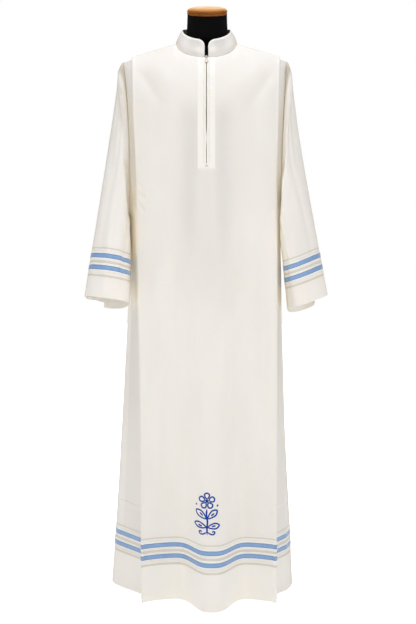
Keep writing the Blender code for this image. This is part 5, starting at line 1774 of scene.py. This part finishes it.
FLOWER_X = 0.0014
FLOWER_LOW = 0.2150
FLOWER_Z = 90.0  # the flower's middle, in millimetres above the stem's foot
Stroke = namedtuple("Stroke", "points width closed")  # points in millimetres from the stem's foot
STROKE_HIGH = 0.0009
STROKE_SUNK = 0.0003  # its edges reach this far into the cloth
STROKE_END = 0.30  # a line's width at its ends, and how quickly it grows to the full width
STROKE_GROWTH = 5
STROKE_STEPS = 9
STROKE_SECTION = ((1.0, None), (0.85, 0.35), (0.4, 0.7), (0.0, 0.8), (-0.4, 0.7), (-0.85, 0.35), (-1.0, None))


def petal(turn, start, end, half):
    """The outline of a petal or a leaf that points a way, from its base to its tip and back."""
    shape = [(start, 0.0), (blend(start, end, 0.35), 0.8), (blend(start, end, 0.75), 1.0), (end, 0.0)]
    shape += [(a, -b) for a, b in shape[2:0:-1]] + [(start, 0.0)]
    c, s = math.cos(math.radians(turn)), math.sin(math.radians(turn))
    return [(c * a - s * b * half, s * a + c * b * half) for a, b in shape]


def moved(points, x, z, mirror=1):
    return [(mirror * (a + x), b + z) for a, b in points]


heart = [(2.0 * math.cos(t), FLOWER_Z + 2.0 * math.sin(t)) for t in np.linspace(0, 2 * math.pi, 9)]
stem = [(0.0, 70.0), (-1.4, 56.0), (1.2, 36.0), (0.0, 18.0), (0.4, 1.0)]
curl = [(0.6, 12.0), (7.0, 7.5), (13.5, 5.0), (19.0, 6.5), (20.5, 11.5), (16.0, 13.0), (14.0, 10.0)]
strokes = [Stroke(moved(petal(90 + 72 * k, 5.0, 21.0, 6.4), 0, FLOWER_Z), 4.5, True) for k in range(5)]
strokes += [Stroke(heart, 4.8, True), Stroke(stem, 5.0, False)]
for mirror in (-1, 1):
    lean = 2.0 * mirror
    strokes += [
        Stroke(moved(petal(40 + lean, 0.0, 34.0, 7.0), 1.2, 43, mirror), 4.5, True),
        Stroke(moved([(10.0, 8.0), (14.0, 11.8), (18.0, 14.8)], 1.2, 43, mirror), 4.6, False),
        Stroke(moved(petal(12 - lean, 0.0, 32.0, 6.6), 1.0, 21, mirror), 4.5, True),
        Stroke(moved([(12.0, 2.2), (17.0, 3.4), (22.0, 4.4)], 1.0, 21, mirror), 4.6, False),
        Stroke(moved(curl, 0, -3.0, mirror), 4.3, False),
        Stroke(moved([(27.0, 76.0), (28.0, 78.5), (28.0, 81.0)], 0, 0, mirror), 5.0, False),
    ]

embroidery_thread = principled(
    "embroidery_thread", (0.003, 0.060, 0.360), 0.55, Specular_IOR_Level=0.2, Anisotropic=0.5
)
dye = cloudy(embroidery_thread, grain_of(embroidery_thread, (420.0, 60.0, 1.0)))
dyed = colour_ramp(
    embroidery_thread, dye, (0.30, (0.000, 0.040, 0.290)), (0.55, (0.000, 0.056, 0.370)), (0.80, (0.002, 0.092, 0.460))
)
feed(embroidery_thread, "Base Color", dyed)
bump(embroidery_thread, ribbed(embroidery_thread, grain_of(embroidery_thread), 0.00040, 0.8, 2.0), 0.00015)

front_points = [vertex.co.copy() for vertex in front_piece.data.vertices]
front_hit = BVHTree.FromPolygons(front_points, [tuple(face.vertices) for face in front_piece.data.polygons])


def on_front(x, z):
    """The place on the front's outer face seen straight from the front, and the way out there."""
    return front_hit.ray_cast(Vector((FLOWER_X + x, -1.0, FLOWER_LOW + z)), Vector((0, 1, 0)))[:2]


def satin_stroke(stroke):
    path = smooth_through(np.array(stroke.points) / 1000, [STROKE_STEPS] * (len(stroke.points) - 1))
    path = path[np.concatenate(([True], steps_along(path, 0) > 1e-6))]
    points, out = (np.array([list(part) for part in parts]) for parts in zip(*(on_front(x, z) for x, z in path)))
    for _ in range(3):
        out[1:-1] = unit(out[:-2] + out[1:-1] + out[2:])
    aside = unit(np.cross(np.gradient(points, axis=0), out))
    share = np.linspace(0, 1, len(points))
    ends = np.minimum(1.0, STROKE_END + STROKE_GROWTH * np.minimum(share, 1 - share))
    swell = 0.80 + 0.20 * np.sin(math.pi * share) if stroke.closed else ends
    half = stroke.width / 2000
    section = [(half * a, -STROKE_SUNK if high is None else STROKE_HIGH * high) for a, high in STROKE_SECTION[::-1]]
    return swept_part((points, out, aside), section, False, swell)


flower_piece = joined("embroidered_flower", [satin_stroke(stroke) for stroke in strokes], embroidery_thread, 60.0)
place_on(flower_piece, "blue_satin")


# ---- Studio ----
# A pale floor that runs out into a white room, broad lights overhead, high and low in front, on each side and
# behind, all large and soft, and a long lens at the height of the chest.

CAMERA = (0.00408, -3.3, 1.25238)
CAMERA_PITCH = 8.0686  # degrees down
LENS = 70.0
SENSOR = 36.0
FLOOR_R = 5.0
FLOOR_BELOW = 0.0002
FLOOR_GLOW = (0.3, 2.2, 0.44, 0.95)  # between which distances the floor's glow grows, and from how much to how much
Lamp = namedtuple("Lamp", "name place aim width height power colour")
WHITE, COOL = (1.0, 1.0, 1.0), (0.99, 1.00, 1.06)
LAMPS = (
    Lamp("front_light", (-0.3, -3.6, 2.9), (0.0, 0.0, 0.8), 2.6, 1.6, 19.5, WHITE),
    Lamp("low_front_light", (0.3, -3.7, 1.2), (0.0, 0.0, 1.0), 2.0, 1.2, 7.8, WHITE),
    Lamp("top_light", (0.0, -0.6, 4.2), (0.0, 0.0, 1.2), 2.2, 1.8, 74.0, COOL),
    Lamp("left_light", (-3.6, -1.6, 1.9), (0.0, 0.0, 0.9), 1.4, 2.2, 14.0, WHITE),
    Lamp("right_light", (3.6, -1.6, 1.9), (0.0, 0.0, 0.9), 1.4, 2.2, 14.0, WHITE),
    Lamp("back_light", (0.4, 3.6, 3.0), (0.0, 0.0, 0.9), 2.6, 1.6, 50.0, WHITE),
)
WORLD_LIGHT = 0.225

pale_floor = principled("pale_floor", (0.93, 0.93, 0.93), 0.9, Emission_Color=(*WHITE, 1.0))
floor_place = node(pale_floor, "TexCoord", "Object")
away = node(pale_floor, "VectorMath", "Value", {0: floor_place}, operation="LENGTH")
floor_glow = ranged(pale_floor, away, *FLOOR_GLOW, "SMOOTHSTEP")
seen = node(pale_floor, "LightPath", "Is Camera Ray")
feed(pale_floor, "Emission Strength", worked(pale_floor, "MAXIMUM", floor_glow, seen))
floor_mesh = bmesh.new()
bmesh.ops.create_circle(floor_mesh, cap_ends=True, segments=TURN_SIDES, radius=FLOOR_R)
floor_data = bpy.data.meshes.new("floor")
floor_mesh.to_mesh(floor_data)
floor_mesh.free()
floor_data.materials.append(pale_floor)
floor = in_scene("floor", floor_data)
floor.location.z = -FLOOR_BELOW

for lamp in LAMPS:
    light = bpy.data.lights.new(lamp.name, "AREA")
    light.shape = "RECTANGLE"
    light.size, light.size_y = lamp.width, lamp.height
    light.energy, light.color = lamp.power, lamp.colour
    thing = in_scene(lamp.name, light)
    thing.location = lamp.place
    thing.rotation_euler = (Vector(lamp.aim) - Vector(lamp.place)).to_track_quat("-Z", "Y").to_euler()

world = bpy.data.worlds.new("white_room")
world.use_nodes = True
background = world.node_tree.nodes["Background"]
background.inputs["Color"].default_value = (*WHITE, 1.0)
sight = node(world, "LightPath", "Is Camera Ray")
world.node_tree.links.new(ranged(world, sight, 0.0, 1.0, WORLD_LIGHT, 1.0), background.inputs["Strength"])
bpy.context.scene.world = world
bpy.context.scene.view_settings.view_transform = "Standard"

lens = bpy.data.cameras.new("camera")
lens.sensor_fit = "VERTICAL"
lens.sensor_height = SENSOR
lens.lens = LENS
camera = in_scene("camera", lens)
camera.location = CAMERA
camera.rotation_euler = (math.pi / 2 - math.radians(CAMERA_PITCH), 0.0, 0.0)
bpy.context.scene.camera = camera
